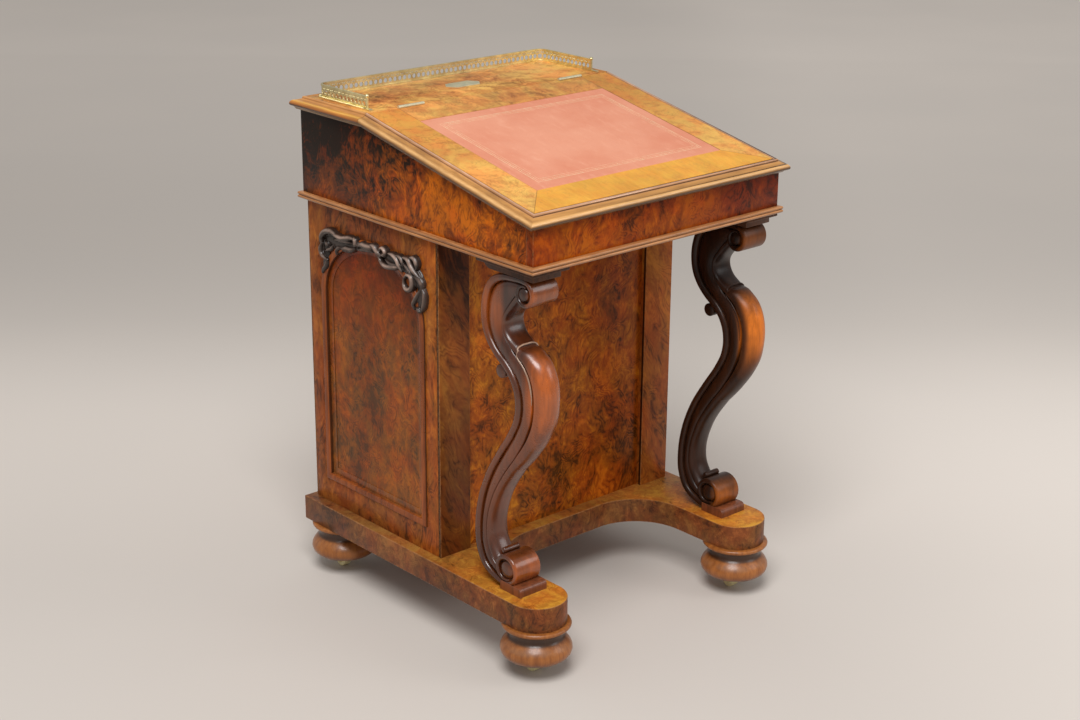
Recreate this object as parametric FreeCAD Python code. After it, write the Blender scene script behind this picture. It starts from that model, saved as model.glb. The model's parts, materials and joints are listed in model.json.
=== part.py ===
import FreeCAD, Part
import math
import os

# Davenport desk in walnut: a sloping writing case on a pedestal, with carved scroll supports.
# Millimetres. X is the width, the sitter is at -Y, Z is up.
# The origin is on the floor, midway between the four feet.

V = FreeCAD.Vector

# Feet, castors and plinth
foot_inset_width = 72.0
foot_inset_depth = 66.0
foot_radius = 58.0
foot_lift = 15.0
bun_height = 50.0
foot_neck_height = 18.0
foot_neck_radius = 44.5
foot_bead_height = 8.0
foot_bead_radius = 56.0
foot_scotia_depth = 2.5
bun_ground_radius = 30.5
bun_widest_height = 29.5
plinth_thick = 43.0
toe_radius = 49.0
bay_corner_radius = 95.0

castor_cavity_radius = 22.5
castor_cavity_height = 21.0
castor_tube_radius = 7.0
castor_tube_height = 24.0
castor_plate_radius = 18.0
castor_plate_thick = 2.0
castor_post_radius = 3.0
castor_crown_radius = 11.0
castor_crown_thick = 3.0
castor_trail = 6.0
castor_cheek_thick = 2.0
castor_cheek_half = 4.5
wheel_radius = 13.0
wheel_width = 15.0
wheel_edge_round = 1.2
axle_radius = 2.0
axle_proud = 1.0

# Pedestal
pedestal_inset = 12.0
pedestal_depth = 345.0
pedestal_height = 540.0
plinth_past_pedestal = 12.0
plinth_ledge = 14.0
stile_width = 63.0
stile_thick = 22.0
stile_lip = 3.5
side_thick = 20.0
panel_thick = 10.0
knee_recess = 11.0
back_recess = 9.0

# Arched false door on the left side
door_margin = 35.0
door_bottom_rail = 44.0
door_top_margin = 40.0
door_arch_rise = 112.0
door_moulding_width = 24.0
door_moulding_proud = 3.5
door_moulding_step = 7.0
door_panel_sunk = 4.5
door_panel_thick = 8.0
carving_half_width = 133.0
carving_above_spring = 25.0
carving_over_arch = 22.0
carving_corner_radius = 38.0
carving_thick = 9.0

# Drawers on the right side
top_drawer_bay = 100.0
third_drawer_bay = 110.0
second_drawer_bay = 120.0
rail_thick = 20.0
divider_thick = 12.0
drawer_stile_width = 28.0
drawer_front_thick = 18.0
drawer_side_thick = 10.0
drawer_bottom_thick = 6.0
drawer_back_room = 11.0
drawer_side_drop = 14.0
guide_height = 15.0
knob_spacing = 160.0
knob_radius = 15.0
knob_length = 21.0
knob_neck_radius = 7.0
knob_collar = 2.0
knob_waist_depth = 1.0

# Case
case_width = 533.0
case_depth = 575.0
plinth_past_case = 9.5
case_floor_thick = 11.0
case_floor_overhang = 7.0
case_floor_moulding_width = 27.0
case_wall = 15.0
apron_height = 56.5
top_board = 20.0
crease_to_case_back = 174.0
lid_slope = 11.6
moulding_width = 22.5
moulding_tip_drop = 11.0
moulding_quirk_width = 1.4
moulding_quirk_depth = 1.6
moulding_bead_width = 5.6
moulding_bead_rise = 1.2
moulding_hollow_width = 8.1
moulding_hollow_depth = 5.4
moulding_undercut = 8.0
side_overhang = 14.0
front_overhang = 12.0
back_overhang = 12.0

# Lid furniture
leather_side_margin = 59.0
leather_front_margin = 61.0
leather_crease_margin = 56.0
leather_thick = 1.0
hinge_length = 52.0
hinge_centre_x = 173.0
hinge_knuckle_radius = 2.8
hinge_pin_radius = 1.2
hinge_leaf_thick = 1.2
hinge_leaf_height = 15.0
hinge_axis_above_top = 1.3

# Gallery and plaque
gallery_inset = 14.0
gallery_back_from_case_back = 21.0
gallery_front_from_crease = 24.5
gallery_corner_radius = 14.0
gallery_height = 22.0
gallery_rail_height = 2.5
gallery_flange_width = 6.0
gallery_toe = 16.0
gallery_top_width = 4.0
gallery_fret_thick = 1.5
gallery_post_radius = 2.5
gallery_finial_radius = 3.3
plaque_length = 72.0
plaque_point = 12.0
plaque_depth = 34.0
plaque_thick = 0.8
plaque_from_crease = 79.0

# Nest under the flat top
nest_from_crease = 15.0
nest_board = 8.0
nest_drawer_height = 57.0
nest_front_thick = 10.0
nest_box_thick = 6.0
nest_drawer_side_drop = 8.0
nest_knob_radius = 8.0
nest_knob_length = 14.0

# Scroll supports
support_drawn_height = 523.0
support_width = 54.0
support_band_thick = 12.0
upper_volute_radius = 23.7
lower_volute_radius = 28.0
volute_eye_radius = 9.0
volute_eye_proud = 3.0
scroll_nose_share = 0.42
cap_thick = 17.0
cap_before_volute = 2.0
cap_hollow_length = 26.0
cap_lip_height = 5.0
cap_fillet_thick = 6.0
cap_fillet_overhang = 9.0
base_block_before_volute = 11.0
base_block_height = 15.0
base_block_width = 56.0
base_block_depth = 48.0
base_block_nose = 7.0

# Clearances
lid_gap = 0.8
lid_rest_gap = 0.3
running_fit = 0.05
knuckle_gap = 0.3
drawer_gap = 0.7
drawer_rest_gap = 0.3
wheel_gap = 0.5
cutter_reach = 1.0

# Worked out from the sizes above
foot_x = (case_width - foot_inset_width) / 2
foot_y = (case_depth - foot_inset_depth) / 2
plinth_bottom = foot_lift + bun_height + foot_neck_height + foot_bead_height
plinth_top = plinth_bottom + plinth_thick
plinth_side = foot_x + toe_radius
plinth_back = foot_y + toe_radius
pedestal_side = (case_width - pedestal_inset) / 2
pedestal_back = plinth_back - plinth_past_pedestal
pedestal_front = pedestal_back - pedestal_depth
pedestal_top = plinth_top + pedestal_height
wall_front = pedestal_front + stile_thick
wall_back = pedestal_back - stile_thick
wall_side = pedestal_side - side_thick
case_side = case_width / 2
case_back = plinth_back - plinth_past_case
case_front = case_back - case_depth
case_floor = pedestal_top + case_floor_thick
crease_y = case_back - crease_to_case_back
slope = math.radians(lid_slope)
board_drop = top_board / math.cos(slope)
apron_top = case_floor + apron_height
top_height = apron_top + lid_rest_gap + board_drop + (crease_y - case_front) * math.tan(slope)
top_side = case_side + side_overhang
top_back = case_back + back_overhang
board_side = top_side - moulding_width
well_side = case_side - case_wall
gallery_half_width = board_side - gallery_inset
support_x = foot_x
support_top = pedestal_top - cap_thick
support_stretch = (support_top - plinth_top) / support_drawn_height


def box(x0, x1, y0, y1, z0, z1):
    low = V(min(x0, x1), min(y0, y1), min(z0, z1))
    return Part.makeBox(abs(x1 - x0), abs(y1 - y0), abs(z1 - z0), low)


def cylinder(radius, start, direction, length):
    return Part.makeCylinder(radius, length, start, direction)


def outline_face(steps, place):
    # A step (a, b) ends a straight line, and (a_mid, b_mid, a, b) ends an arc through its middle.
    edges = []
    here = place(*steps[0])
    for step in steps[1:] + [steps[0]]:
        there = place(*step[-2:])
        if len(step) == 4:
            edges.append(Part.Arc(here, place(*step[:2]), there).toShape())
        elif not here.isEqual(there, 1e-6):
            edges.append(Part.makeLine(here, there))
        here = there
    return Part.Face(Part.Wire(edges))


def prism_x(steps, x0, x1):
    return outline_face(steps, lambda y, z: V(x0, y, z)).extrude(V(x1 - x0, 0, 0))


def prism_z(steps, z0, z1):
    return outline_face(steps, lambda x, y: V(x, y, z0)).extrude(V(0, 0, z1 - z0))


def turned(steps, centre, along):
    # Steps are (radius, distance along the axis).
    side = V(0, 1, 0) if abs(along.y) < 0.5 else V(1, 0, 0)
    face = outline_face(steps, lambda r, h: centre + side * r + along * h)
    return face.revolve(centre, along, 360)


def mirrored(shape):
    return shape.mirror(V(0, 0, 0), V(1, 0, 0))


def both_sides(shape):
    return [shape, mirrored(shape)]


parts = {}


def keep(name, solids):
    group = solids if isinstance(solids, list) else [solids]
    parts[name] = [piece for shape in group for piece in shape.Solids]


# ---- Base ---------------------------------------------------------------

foot_axes = {
    "front_left": V(-foot_x, -foot_y, 0),
    "front_right": V(foot_x, -foot_y, 0),
    "back_left": V(-foot_x, foot_y, 0),
    "back_right": V(foot_x, foot_y, 0),
}


def bun_foot(axis):
    bun_top = foot_lift + bun_height
    neck_top = bun_top + foot_neck_height
    bead_core = foot_bead_radius - foot_bead_height / 2
    widest = foot_lift + bun_widest_height
    lower_mid = bun_ground_radius + 0.76 * (foot_radius - bun_ground_radius)
    upper_mid = foot_neck_radius + 0.75 * (foot_radius - foot_neck_radius)
    steps = [
        (0, foot_lift),
        (bun_ground_radius, foot_lift),
        (lower_mid, foot_lift + 0.32 * bun_widest_height, foot_radius, widest),
        (upper_mid, widest + 0.66 * (bun_top - widest), foot_neck_radius, bun_top),
        (foot_neck_radius - foot_scotia_depth, bun_top + foot_neck_height / 2, foot_neck_radius, neck_top),
        (bead_core, neck_top),
        (foot_bead_radius, (neck_top + plinth_bottom) / 2, bead_core, plinth_bottom),
        (0, plinth_bottom),
    ]
    foot = turned(steps, axis, V(0, 0, 1))
    cavity = cylinder(castor_cavity_radius, axis + V(0, 0, foot_lift), V(0, 0, 1), castor_cavity_height)
    tube_hole = cylinder(castor_tube_radius, axis + V(0, 0, foot_lift), V(0, 0, 1),
                         castor_cavity_height + castor_tube_height)
    return foot.cut(cavity).cut(tube_hole)


def castor_socket(axis):
    ceiling = foot_lift + castor_cavity_height
    plate = cylinder(castor_plate_radius, axis + V(0, 0, ceiling - castor_plate_thick), V(0, 0, 1),
                     castor_plate_thick)
    tube = cylinder(castor_tube_radius, axis + V(0, 0, ceiling - castor_plate_thick), V(0, 0, 1),
                    castor_tube_height + castor_plate_thick)
    bore = cylinder(castor_post_radius + running_fit, axis, V(0, 0, 1), ceiling + castor_tube_height)
    return plate.fuse(tube).cut(bore)


def castor_fork(axis):
    plate_bottom = foot_lift + castor_cavity_height - castor_plate_thick
    crown_bottom = plate_bottom - castor_crown_thick - wheel_gap
    hub = axis + V(0, castor_trail, wheel_radius)
    crown = cylinder(castor_crown_radius, axis + V(0, 0, crown_bottom), V(0, 0, 1), castor_crown_thick)
    post = cylinder(castor_post_radius, axis + V(0, 0, crown_bottom), V(0, 0, 1),
                    castor_plate_thick + castor_tube_height)
    fork = crown.fuse(post)
    inner = wheel_width / 2 + wheel_gap
    outer = inner + castor_cheek_thick
    for side in (-1, 1):
        cheek = box(hub.x + side * inner, hub.x + side * outer, hub.y - castor_cheek_half,
                    hub.y + castor_cheek_half, hub.z - castor_cheek_half, crown_bottom)
        fork = fork.fuse(cheek)
    axle_end = outer + axle_proud
    axle = cylinder(axle_radius, hub - V(axle_end, 0, 0), V(1, 0, 0), 2 * axle_end)
    return [fork.cut(axle), axle]


def castor_wheel(axis):
    hub = axis + V(-wheel_width / 2, castor_trail, wheel_radius)
    wheel = cylinder(wheel_radius, hub, V(1, 0, 0), wheel_width)
    rims = [edge for edge in wheel.Edges if edge.Closed]
    wheel = wheel.makeFillet(wheel_edge_round, rims)
    return wheel.cut(cylinder(axle_radius + running_fit, hub, V(1, 0, 0), wheel_width))


def plinth_shape():
    ledge = pedestal_front - plinth_ledge
    bay_side = foot_x - toe_radius
    turn = bay_corner_radius * (1 - math.sqrt(0.5))
    bay_end = ledge - bay_corner_radius
    steps = [
        (-plinth_side, plinth_back),
        (-plinth_side, -foot_y),
        (-foot_x, -foot_y - toe_radius, -bay_side, -foot_y),
        (-bay_side, bay_end),
        (-bay_side + turn, ledge - turn, -bay_side + bay_corner_radius, ledge),
        (bay_side - bay_corner_radius, ledge),
        (bay_side - turn, ledge - turn, bay_side, bay_end),
        (bay_side, -foot_y),
        (foot_x, -foot_y - toe_radius, plinth_side, -foot_y),
        (plinth_side, plinth_back),
    ]
    return prism_z(steps, plinth_bottom, plinth_top)


keep("plinth", plinth_shape())
keep("bun_feet", [bun_foot(axis) for axis in foot_axes.values()])
keep("castor_sockets", [castor_socket(axis) for axis in foot_axes.values()])
for place_name, axis in foot_axes.items():
    keep("castor_fork_" + place_name, castor_fork(axis))
    keep("castor_wheel_" + place_name, castor_wheel(axis))


# ---- Pedestal -----------------------------------------------------------

def corner_stile(face_y, inward):
    # One of a pair: a board on the knee or back face, rebated for the side behind its lip.
    inner_y = face_y + inward * stile_thick
    board = box(pedestal_side - stile_width, pedestal_side, face_y, inner_y, plinth_top, pedestal_top)
    rebate = box(wall_side, pedestal_side, face_y + inward * stile_lip, inner_y, plinth_top, pedestal_top)
    return board.cut(rebate)


keep("knee_stiles", both_sides(corner_stile(pedestal_front, 1)))
keep("back_stiles", both_sides(corner_stile(pedestal_back, -1)))

panel_side = pedestal_side - stile_width
knee_panel_face = pedestal_front + knee_recess
keep("knee_panel", box(-panel_side, panel_side, knee_panel_face, knee_panel_face + panel_thick,
                       plinth_top, pedestal_top))
back_panel_face = pedestal_back - back_recess
keep("back_panel", box(-panel_side, panel_side, back_panel_face - panel_thick, back_panel_face,
                       plinth_top, pedestal_top))

side_front = pedestal_front + stile_lip
side_back = pedestal_back - stile_lip
door_mid = (pedestal_front + pedestal_back) / 2
door_half = pedestal_depth / 2 - door_margin
door_bottom = plinth_top + door_bottom_rail
door_spring = pedestal_top - door_top_margin - door_arch_rise


def arch(half_width, bottom, rise, x0, x1):
    # A doorway outline with a half-ellipse head, springing at door_spring.
    centre = V(x0, door_mid, door_spring)
    head = Part.Ellipse(centre + V(0, half_width, 0), centre + V(0, 0, rise), centre)
    right = V(x0, door_mid + half_width, bottom)
    left = V(x0, door_mid - half_width, bottom)
    edges = [
        Part.ArcOfEllipse(head, 0, math.pi).toShape(),
        Part.makeLine(centre - V(0, half_width, 0), left),
        Part.makeLine(left, right),
        Part.makeLine(right, centre + V(0, half_width, 0)),
    ]
    return Part.Face(Part.Wire(edges)).extrude(V(x1 - x0, 0, 0))


moulding_face = -pedestal_side - door_moulding_proud
panel_face = -pedestal_side + door_panel_sunk
step_face = moulding_face + door_moulding_step
door_inner_half = door_half - door_moulding_width
door_inner_bottom = door_bottom + door_moulding_width
door_inner_rise = door_arch_rise - door_moulding_width
step_inset = door_moulding_width / 2

door_frame = box(-pedestal_side, -wall_side, side_front, side_back, plinth_top, pedestal_top)
door_hole = arch(door_half, door_bottom, door_arch_rise, -pedestal_side - cutter_reach,
                 -wall_side + cutter_reach)
keep("false_door_frame", door_frame.cut(door_hole))
keep("false_door_panel", arch(door_half, door_bottom, door_arch_rise, panel_face,
                              panel_face + door_panel_thick))

door_moulding = arch(door_half, door_bottom, door_arch_rise, moulding_face, panel_face)
door_moulding = door_moulding.cut(arch(door_half - step_inset, door_bottom + step_inset,
                                       door_arch_rise - step_inset, moulding_face - cutter_reach, step_face))
door_moulding = door_moulding.cut(arch(door_inner_half, door_inner_bottom, door_inner_rise,
                                       moulding_face - cutter_reach, panel_face + cutter_reach))
keep("false_door_moulding", door_moulding)


def carved_scroll():
    # The scrollwork fills the shoulders of the arch: a rounded head, hollow inside the arch.
    foot = door_spring + carving_above_spring
    top = door_spring + door_inner_rise + carving_over_arch
    turn = carving_corner_radius * (1 - math.sqrt(0.5))
    right = door_mid + carving_half_width
    left = door_mid - carving_half_width
    steps = [
        (left, foot),
        (left, top - carving_corner_radius),
        (left + turn, top - turn, left + carving_corner_radius, top),
        (right - carving_corner_radius, top),
        (right - turn, top - turn, right, top - carving_corner_radius),
        (right, foot),
    ]
    face_x = moulding_face - carving_thick
    scroll = prism_x(steps, face_x, -pedestal_side)
    hollow = arch(door_inner_half, door_bottom, door_inner_rise, face_x - cutter_reach,
                  -pedestal_side + cutter_reach)
    return scroll.cut(hollow).cut(door_moulding)


keep("false_door_carving", carved_scroll())

drawer_opening_front = side_front + drawer_stile_width
drawer_opening_back = side_back - drawer_stile_width
keep("drawer_side_stiles", [
    box(wall_side, pedestal_side, side_front, drawer_opening_front, plinth_top, pedestal_top),
    box(wall_side, pedestal_side, drawer_opening_back, side_back, plinth_top, pedestal_top),
])


def divider(bottom, thick):
    inside = box(-wall_side, wall_side, wall_front, wall_back, bottom, bottom + thick)
    edge = box(wall_side, pedestal_side, drawer_opening_front, drawer_opening_back, bottom, bottom + thick)
    return inside.fuse(edge)


def drawer_guides(bottom):
    pair = [(wall_front, drawer_opening_front), (drawer_opening_back, wall_back)]
    return [box(-wall_side, wall_side, y0, y1, bottom, bottom + guide_height) for y0, y1 in pair]


def turned_knob(radius, neck, length, centre, along):
    steps = [
        (0, 0),
        (neck + knob_collar, 0),
        (neck, knob_collar),
        (neck - knob_waist_depth, 0.3 * length, neck, 0.5 * length),
        (radius, 0.72 * length, 0.7 * radius, 0.95 * length),
        (0.4 * radius, length),
        (0, length),
    ]
    return turned(steps, centre, along)


def pedestal_drawer(number, bottom, height):
    front_y0 = drawer_opening_front + drawer_gap
    front_y1 = drawer_opening_back - drawer_gap
    z0 = bottom + drawer_rest_gap
    z1 = bottom + height - drawer_gap
    back_of_front = pedestal_side - drawer_front_thick
    tail = drawer_back_room - wall_side
    side_top = z1 - drawer_side_drop
    keep("drawer_%d_front" % number, box(back_of_front, pedestal_side, front_y0, front_y1, z0, z1))
    box_y0 = front_y0 + drawer_gap
    box_y1 = front_y1 - drawer_gap
    inner_y0 = box_y0 + drawer_side_thick
    inner_y1 = box_y1 - drawer_side_thick
    back_x = tail + drawer_side_thick
    keep("drawer_%d_box" % number, [
        box(tail, back_of_front, box_y0, inner_y0, z0, side_top),
        box(tail, back_of_front, inner_y1, box_y1, z0, side_top),
        box(tail, back_x, inner_y0, inner_y1, z0, side_top),
        box(back_x, back_of_front, inner_y0, inner_y1, z0, z0 + drawer_bottom_thick),
    ])
    knobs = []
    for side in (-1, 1):
        centre = V(pedestal_side, door_mid + side * knob_spacing / 2, (z0 + z1) / 2)
        knobs.append(turned_knob(knob_radius, knob_neck_radius, knob_length, centre, V(1, 0, 0)))
    keep("drawer_%d_knobs" % number, knobs)


upper_bays = [second_drawer_bay, third_drawer_bay, top_drawer_bay]
bottom_drawer_bay = pedestal_height - 2 * rail_thick - len(upper_bays) * divider_thick - sum(upper_bays)
drawer_bays = [bottom_drawer_bay] + upper_bays
dividers = [divider(plinth_top, rail_thick)]
guides = []
bay_bottom = plinth_top + rail_thick
for number, height in enumerate(drawer_bays, start=1):
    guides += drawer_guides(bay_bottom)
    pedestal_drawer(number, bay_bottom, height)
    bay_bottom += height
    last = number == len(drawer_bays)
    dividers.append(divider(bay_bottom, rail_thick if last else divider_thick))
    bay_bottom += divider_thick
keep("drawer_dividers", dividers + guides)


# ---- Scroll supports ----------------------------------------------------

# Places on the scroll are (before or behind the front foot's axis, above the plinth), as drawn.
upper_volute_drawn = (7.5, support_drawn_height - upper_volute_radius)
lower_volute_drawn = (46.5, 34)

# Stations down the scroll: rear edge, front of the body, half width of the body.
drawn_stations = [
    (16, 523, 16, 496, 23),
    (50, 522, 32, 484, 23),
    (84, 508, 45, 470, 23),
    (102, 478, 53, 455, 23),
    (105, 446, 53, 436, 24),
    (95, 413, 39, 419, 25),
    (72, 385, 8, 406, 26),
    (47, 366, -20, 386, 26),
    (28, 341, -33, 356, 26),
    (25, 313, -35, 323, 26),
    (39, 274, -25, 284, 25),
    (65, 235, 6, 236, 24),
    (93, 189, 45, 188, 22),
    (112, 141, 74, 143, 20),
    (120, 94, 88, 96, 20),
    (118, 53, 86, 68, 21),
    (102, 24, 70, 48, 22),
    (72, 8, 56, 36, 23),
]


def on_scroll(behind, above):
    return behind - foot_y, plinth_top + above * support_stretch


support_stations = [on_scroll(*row[:2]) + on_scroll(*row[2:4]) + (row[4],) for row in drawn_stations]
upper_volute_centre = on_scroll(*upper_volute_drawn)
lower_volute_centre = on_scroll(*lower_volute_drawn)


def scroll_section(station):
    # A straight-sided section with a rounded front, across the scroll from rear to front.
    rear = V(support_x, station[0], station[1])
    front = V(support_x, station[2], station[3])
    half = V(station[4], 0, 0)
    across = front - rear
    start = rear + across * (0.5 * support_band_thick / across.Length)
    shoulder = front - across * scroll_nose_share
    edges = [
        Part.makeLine(start - half, shoulder - half),
        Part.Arc(shoulder - half, front, shoulder + half).toShape(),
        Part.makeLine(shoulder + half, start + half),
        Part.makeLine(start + half, start - half),
    ]
    return Part.Wire(edges)


def scroll_band():
    # The flat fillet down the rear edge, as wide as the whole support.
    x0 = support_x - support_width / 2
    rear = [V(x0, station[0], station[1]) for station in support_stations]
    inner = []
    for station, edge in zip(support_stations, rear):
        across = V(0, station[2] - station[0], station[3] - station[1]).normalize()
        inner.append(edge + across * support_band_thick)
    outer_curve = Part.BSplineCurve()
    outer_curve.interpolate(rear)
    inner_curve = Part.BSplineCurve()
    inner_curve.interpolate(inner)
    edges = [
        outer_curve.toShape(),
        Part.makeLine(rear[-1], inner[-1]),
        inner_curve.toShape(),
        Part.makeLine(inner[0], rear[0]),
    ]
    face = Part.Face(Part.Wire(Part.__sortEdges__(edges)))
    return face.extrude(V(support_width, 0, 0))


def volute(centre, radius):
    x0 = support_x - support_width / 2
    middle = V(x0, centre[0], centre[1])
    drum = cylinder(radius, middle, V(1, 0, 0), support_width)
    eye = cylinder(volute_eye_radius, middle - V(volute_eye_proud, 0, 0), V(1, 0, 0),
                   support_width + 2 * volute_eye_proud)
    return drum.fuse(eye)


def scroll_support():
    body = Part.makeLoft([scroll_section(station) for station in support_stations], True, False)
    shape = body.fuse(scroll_band())
    shape = shape.fuse(volute(upper_volute_centre, upper_volute_radius))
    shape = shape.fuse(volute(lower_volute_centre, lower_volute_radius))
    room = box(support_x - support_width, support_x + support_width, case_front - case_depth, case_back,
               plinth_top, support_top)
    return shape.common(room)


def support_cap():
    # The bracket between the upper volute and the case floor, with a hollowed rear end.
    top = pedestal_top
    bottom = top - cap_thick
    front = upper_volute_centre[0] - upper_volute_radius - cap_before_volute
    rear = support_stations[3][0]
    lip = top - cap_lip_height
    steps = [
        (front, top),
        (front, bottom),
        (rear - cap_hollow_length, bottom),
        (rear - 0.46 * cap_hollow_length, bottom + 0.33 * (lip - bottom),
         rear - 0.23 * cap_hollow_length, lip),
        (rear, lip),
        (rear, top),
    ]
    half = base_block_width / 2
    block = prism_x(steps, support_x - half, support_x + half)
    fillet = box(support_x - half - cap_fillet_overhang, support_x + half + cap_fillet_overhang,
                 front - cap_fillet_overhang, rear, top - cap_fillet_thick, top)
    return block.fuse(fillet).removeSplitter()


right_support = scroll_support()
keep("support_right", right_support)
keep("support_left", mirrored(right_support))
keep("support_caps", both_sides(support_cap()))
block_front = lower_volute_centre[0] - lower_volute_radius - base_block_before_volute
block_top = plinth_top + base_block_height
nose_turn = base_block_nose * (1 - math.sqrt(0.5))
base_block = prism_x([
    (block_front, plinth_top),
    (block_front, block_top - base_block_nose),
    (block_front + nose_turn, block_top - nose_turn, block_front + base_block_nose, block_top),
    (block_front + base_block_depth, block_top),
    (block_front + base_block_depth, plinth_top),
], support_x - base_block_width / 2, support_x + base_block_width / 2)
keep("support_base_blocks", both_sides(base_block.cut(right_support)))


# ---- Case ---------------------------------------------------------------

def lid_underside(y):
    return top_height - (crease_y - y) * math.tan(slope) - board_drop


def mitred_strip(profile, start, end, outward, width, low, high, mitres):
    # A moulding run from start to end along a board's edge; each end is mitred (1) or square (0).
    along = (end - start).normalize()
    up = V(0, 0, 1)
    first = start - along * width
    face = outline_face(profile, lambda u, w: first + outward * u + up * w)
    run = face.extrude(along * ((end - start).Length + 2 * width))
    corners = [
        start,
        end,
        end + outward * width + along * width * mitres[1],
        start + outward * width - along * width * mitres[0],
    ]
    lifted = [corner + up * low for corner in corners]
    footprint = Part.Face(Part.makePolygon(lifted + [lifted[0]]))
    return run.common(footprint.extrude(up * (high - low)))


def reeded_profile():
    # Two reeds on the edge of the case floor.
    width = case_floor_moulding_width
    half = case_floor_thick / 2
    return [
        (0, 0),
        (width - half / 2, 0),
        (width, half / 2, width - half / 2, half),
        (width, 1.5 * half, width - half / 2, case_floor_thick),
        (0, case_floor_thick),
    ]


floor_side = case_side + case_floor_overhang
floor_front = case_front - case_floor_overhang
floor_back = case_back + case_floor_overhang
inner_side = floor_side - case_floor_moulding_width
inner_front = floor_front + case_floor_moulding_width
inner_back = floor_back - case_floor_moulding_width
keep("case_floor", box(-inner_side, inner_side, inner_front, inner_back, pedestal_top, case_floor))

floor_corners = [
    V(-inner_side, inner_front, pedestal_top),
    V(inner_side, inner_front, pedestal_top),
    V(inner_side, inner_back, pedestal_top),
    V(-inner_side, inner_back, pedestal_top),
]
floor_outward = [V(0, -1, 0), V(1, 0, 0), V(0, 1, 0), V(-1, 0, 0)]
keep("case_floor_moulding", [
    mitred_strip(reeded_profile(), floor_corners[i], floor_corners[(i + 1) % 4], floor_outward[i],
                 case_floor_moulding_width, 0, case_floor_thick, (1, 1))
    for i in range(4)
])

apron_back = case_front + case_wall
flat_underside = top_height - top_board
back_front = case_back - case_wall
case_side_steps = [
    (apron_back, case_floor),
    (case_back, case_floor),
    (case_back, flat_underside),
    (crease_y, flat_underside),
    (crease_y, lid_underside(crease_y) - lid_rest_gap),
    (apron_back, lid_underside(apron_back) - lid_rest_gap),
]
right_side = prism_x(case_side_steps, well_side, case_side)
keep("case_side_right", right_side)
keep("case_side_left", mirrored(right_side))
apron_steps = [
    (case_front, case_floor),
    (apron_back, case_floor),
    (apron_back, lid_underside(apron_back) - lid_rest_gap),
    (case_front, lid_underside(case_front) - lid_rest_gap),
]
keep("case_apron", prism_x(apron_steps, -case_side, case_side))
keep("case_back", box(-well_side, well_side, back_front, case_back, case_floor, flat_underside))


def edge_profile():
    # Thumb moulding: a small bead inside, a hollow, a rounded nose and an undercut below.
    tip = moulding_tip_drop
    bead_start = moulding_quirk_width
    bead_end = bead_start + moulding_bead_width
    nose_start = bead_end + moulding_hollow_width
    nose_back = moulding_width - moulding_undercut / 2
    under = top_board - tip
    return [
        (0, -top_board),
        (0, -moulding_quirk_depth),
        (bead_start, -moulding_quirk_depth),
        ((bead_start + bead_end) / 2, moulding_bead_rise, bead_end, -moulding_quirk_depth),
        (bead_end, -0.55 * moulding_hollow_depth),
        ((bead_end + nose_start) / 2, -0.85 * moulding_hollow_depth, nose_start, -moulding_hollow_depth),
        (nose_start + 0.75 * (moulding_width - nose_start), -0.65 * tip, moulding_width, -tip),
        (moulding_width - 0.15 * moulding_undercut, -tip - 0.35 * under, nose_back, -tip - 0.45 * under),
        (nose_back - 0.3 * moulding_undercut, -tip - 0.72 * under, moulding_width - moulding_undercut,
         -top_board),
    ]


flat_front = crease_y + lid_gap / 2
board_back = top_back - moulding_width


def hinge_groove(centre_x):
    start = V(centre_x - hinge_length / 2 - knuckle_gap, crease_y, top_height + hinge_axis_above_top)
    return cylinder(hinge_knuckle_radius + knuckle_gap, start, V(1, 0, 0), hinge_length + 2 * knuckle_gap)


hinge_grooves = [hinge_groove(side * hinge_centre_x) for side in (-1, 1)]
leaf_bottom = top_height + hinge_axis_above_top - hinge_leaf_height


def leaf_recess(centre_x, front, back):
    return box(centre_x - hinge_length / 2, centre_x + hinge_length / 2, front, back, leaf_bottom, top_height)


flat_top = box(-board_side, board_side, flat_front, board_back, flat_underside, top_height)
for centre_x, groove in zip((-hinge_centre_x, hinge_centre_x), hinge_grooves):
    flat_top = flat_top.cut(groove)
    flat_top = flat_top.cut(leaf_recess(centre_x, flat_front, flat_front + hinge_leaf_thick))
keep("flat_top", flat_top)

back_strip = mitred_strip(edge_profile(), V(board_side, board_back, top_height),
                          V(-board_side, board_back, top_height), V(0, 1, 0), moulding_width,
                          -top_board, moulding_bead_rise, (1, 1))
side_strip = mitred_strip(edge_profile(), V(board_side, flat_front, top_height),
                          V(board_side, board_back, top_height), V(1, 0, 0), moulding_width,
                          -top_board, moulding_bead_rise, (0, 1))
keep("flat_top_moulding", [back_strip] + both_sides(side_strip))


# ---- Lid ----------------------------------------------------------------

# The lid is drawn flat, with its top at height 0 and the crease at y = 0, then tilted into place.
# The front tip of its moulding stands front_overhang before the apron.
lid_tip_run = (crease_y - case_front + front_overhang + moulding_tip_drop * math.sin(slope)) / math.cos(slope)
lid_board_front = moulding_width - lid_tip_run
leather_half_width = board_side - leather_side_margin
leather_front = lid_board_front + leather_front_margin


def tilt(shape):
    placed = shape.copy()
    placed.rotate(V(0, 0, 0), V(1, 0, 0), lid_slope)
    placed.translate(V(0, crease_y, top_height))
    behind = box(-2 * case_side, 2 * case_side, crease_y - lid_gap / 2, crease_y + top_board * 2,
                 top_height - 3 * top_board, top_height + 3 * top_board)
    return placed.cut(behind)


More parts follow.
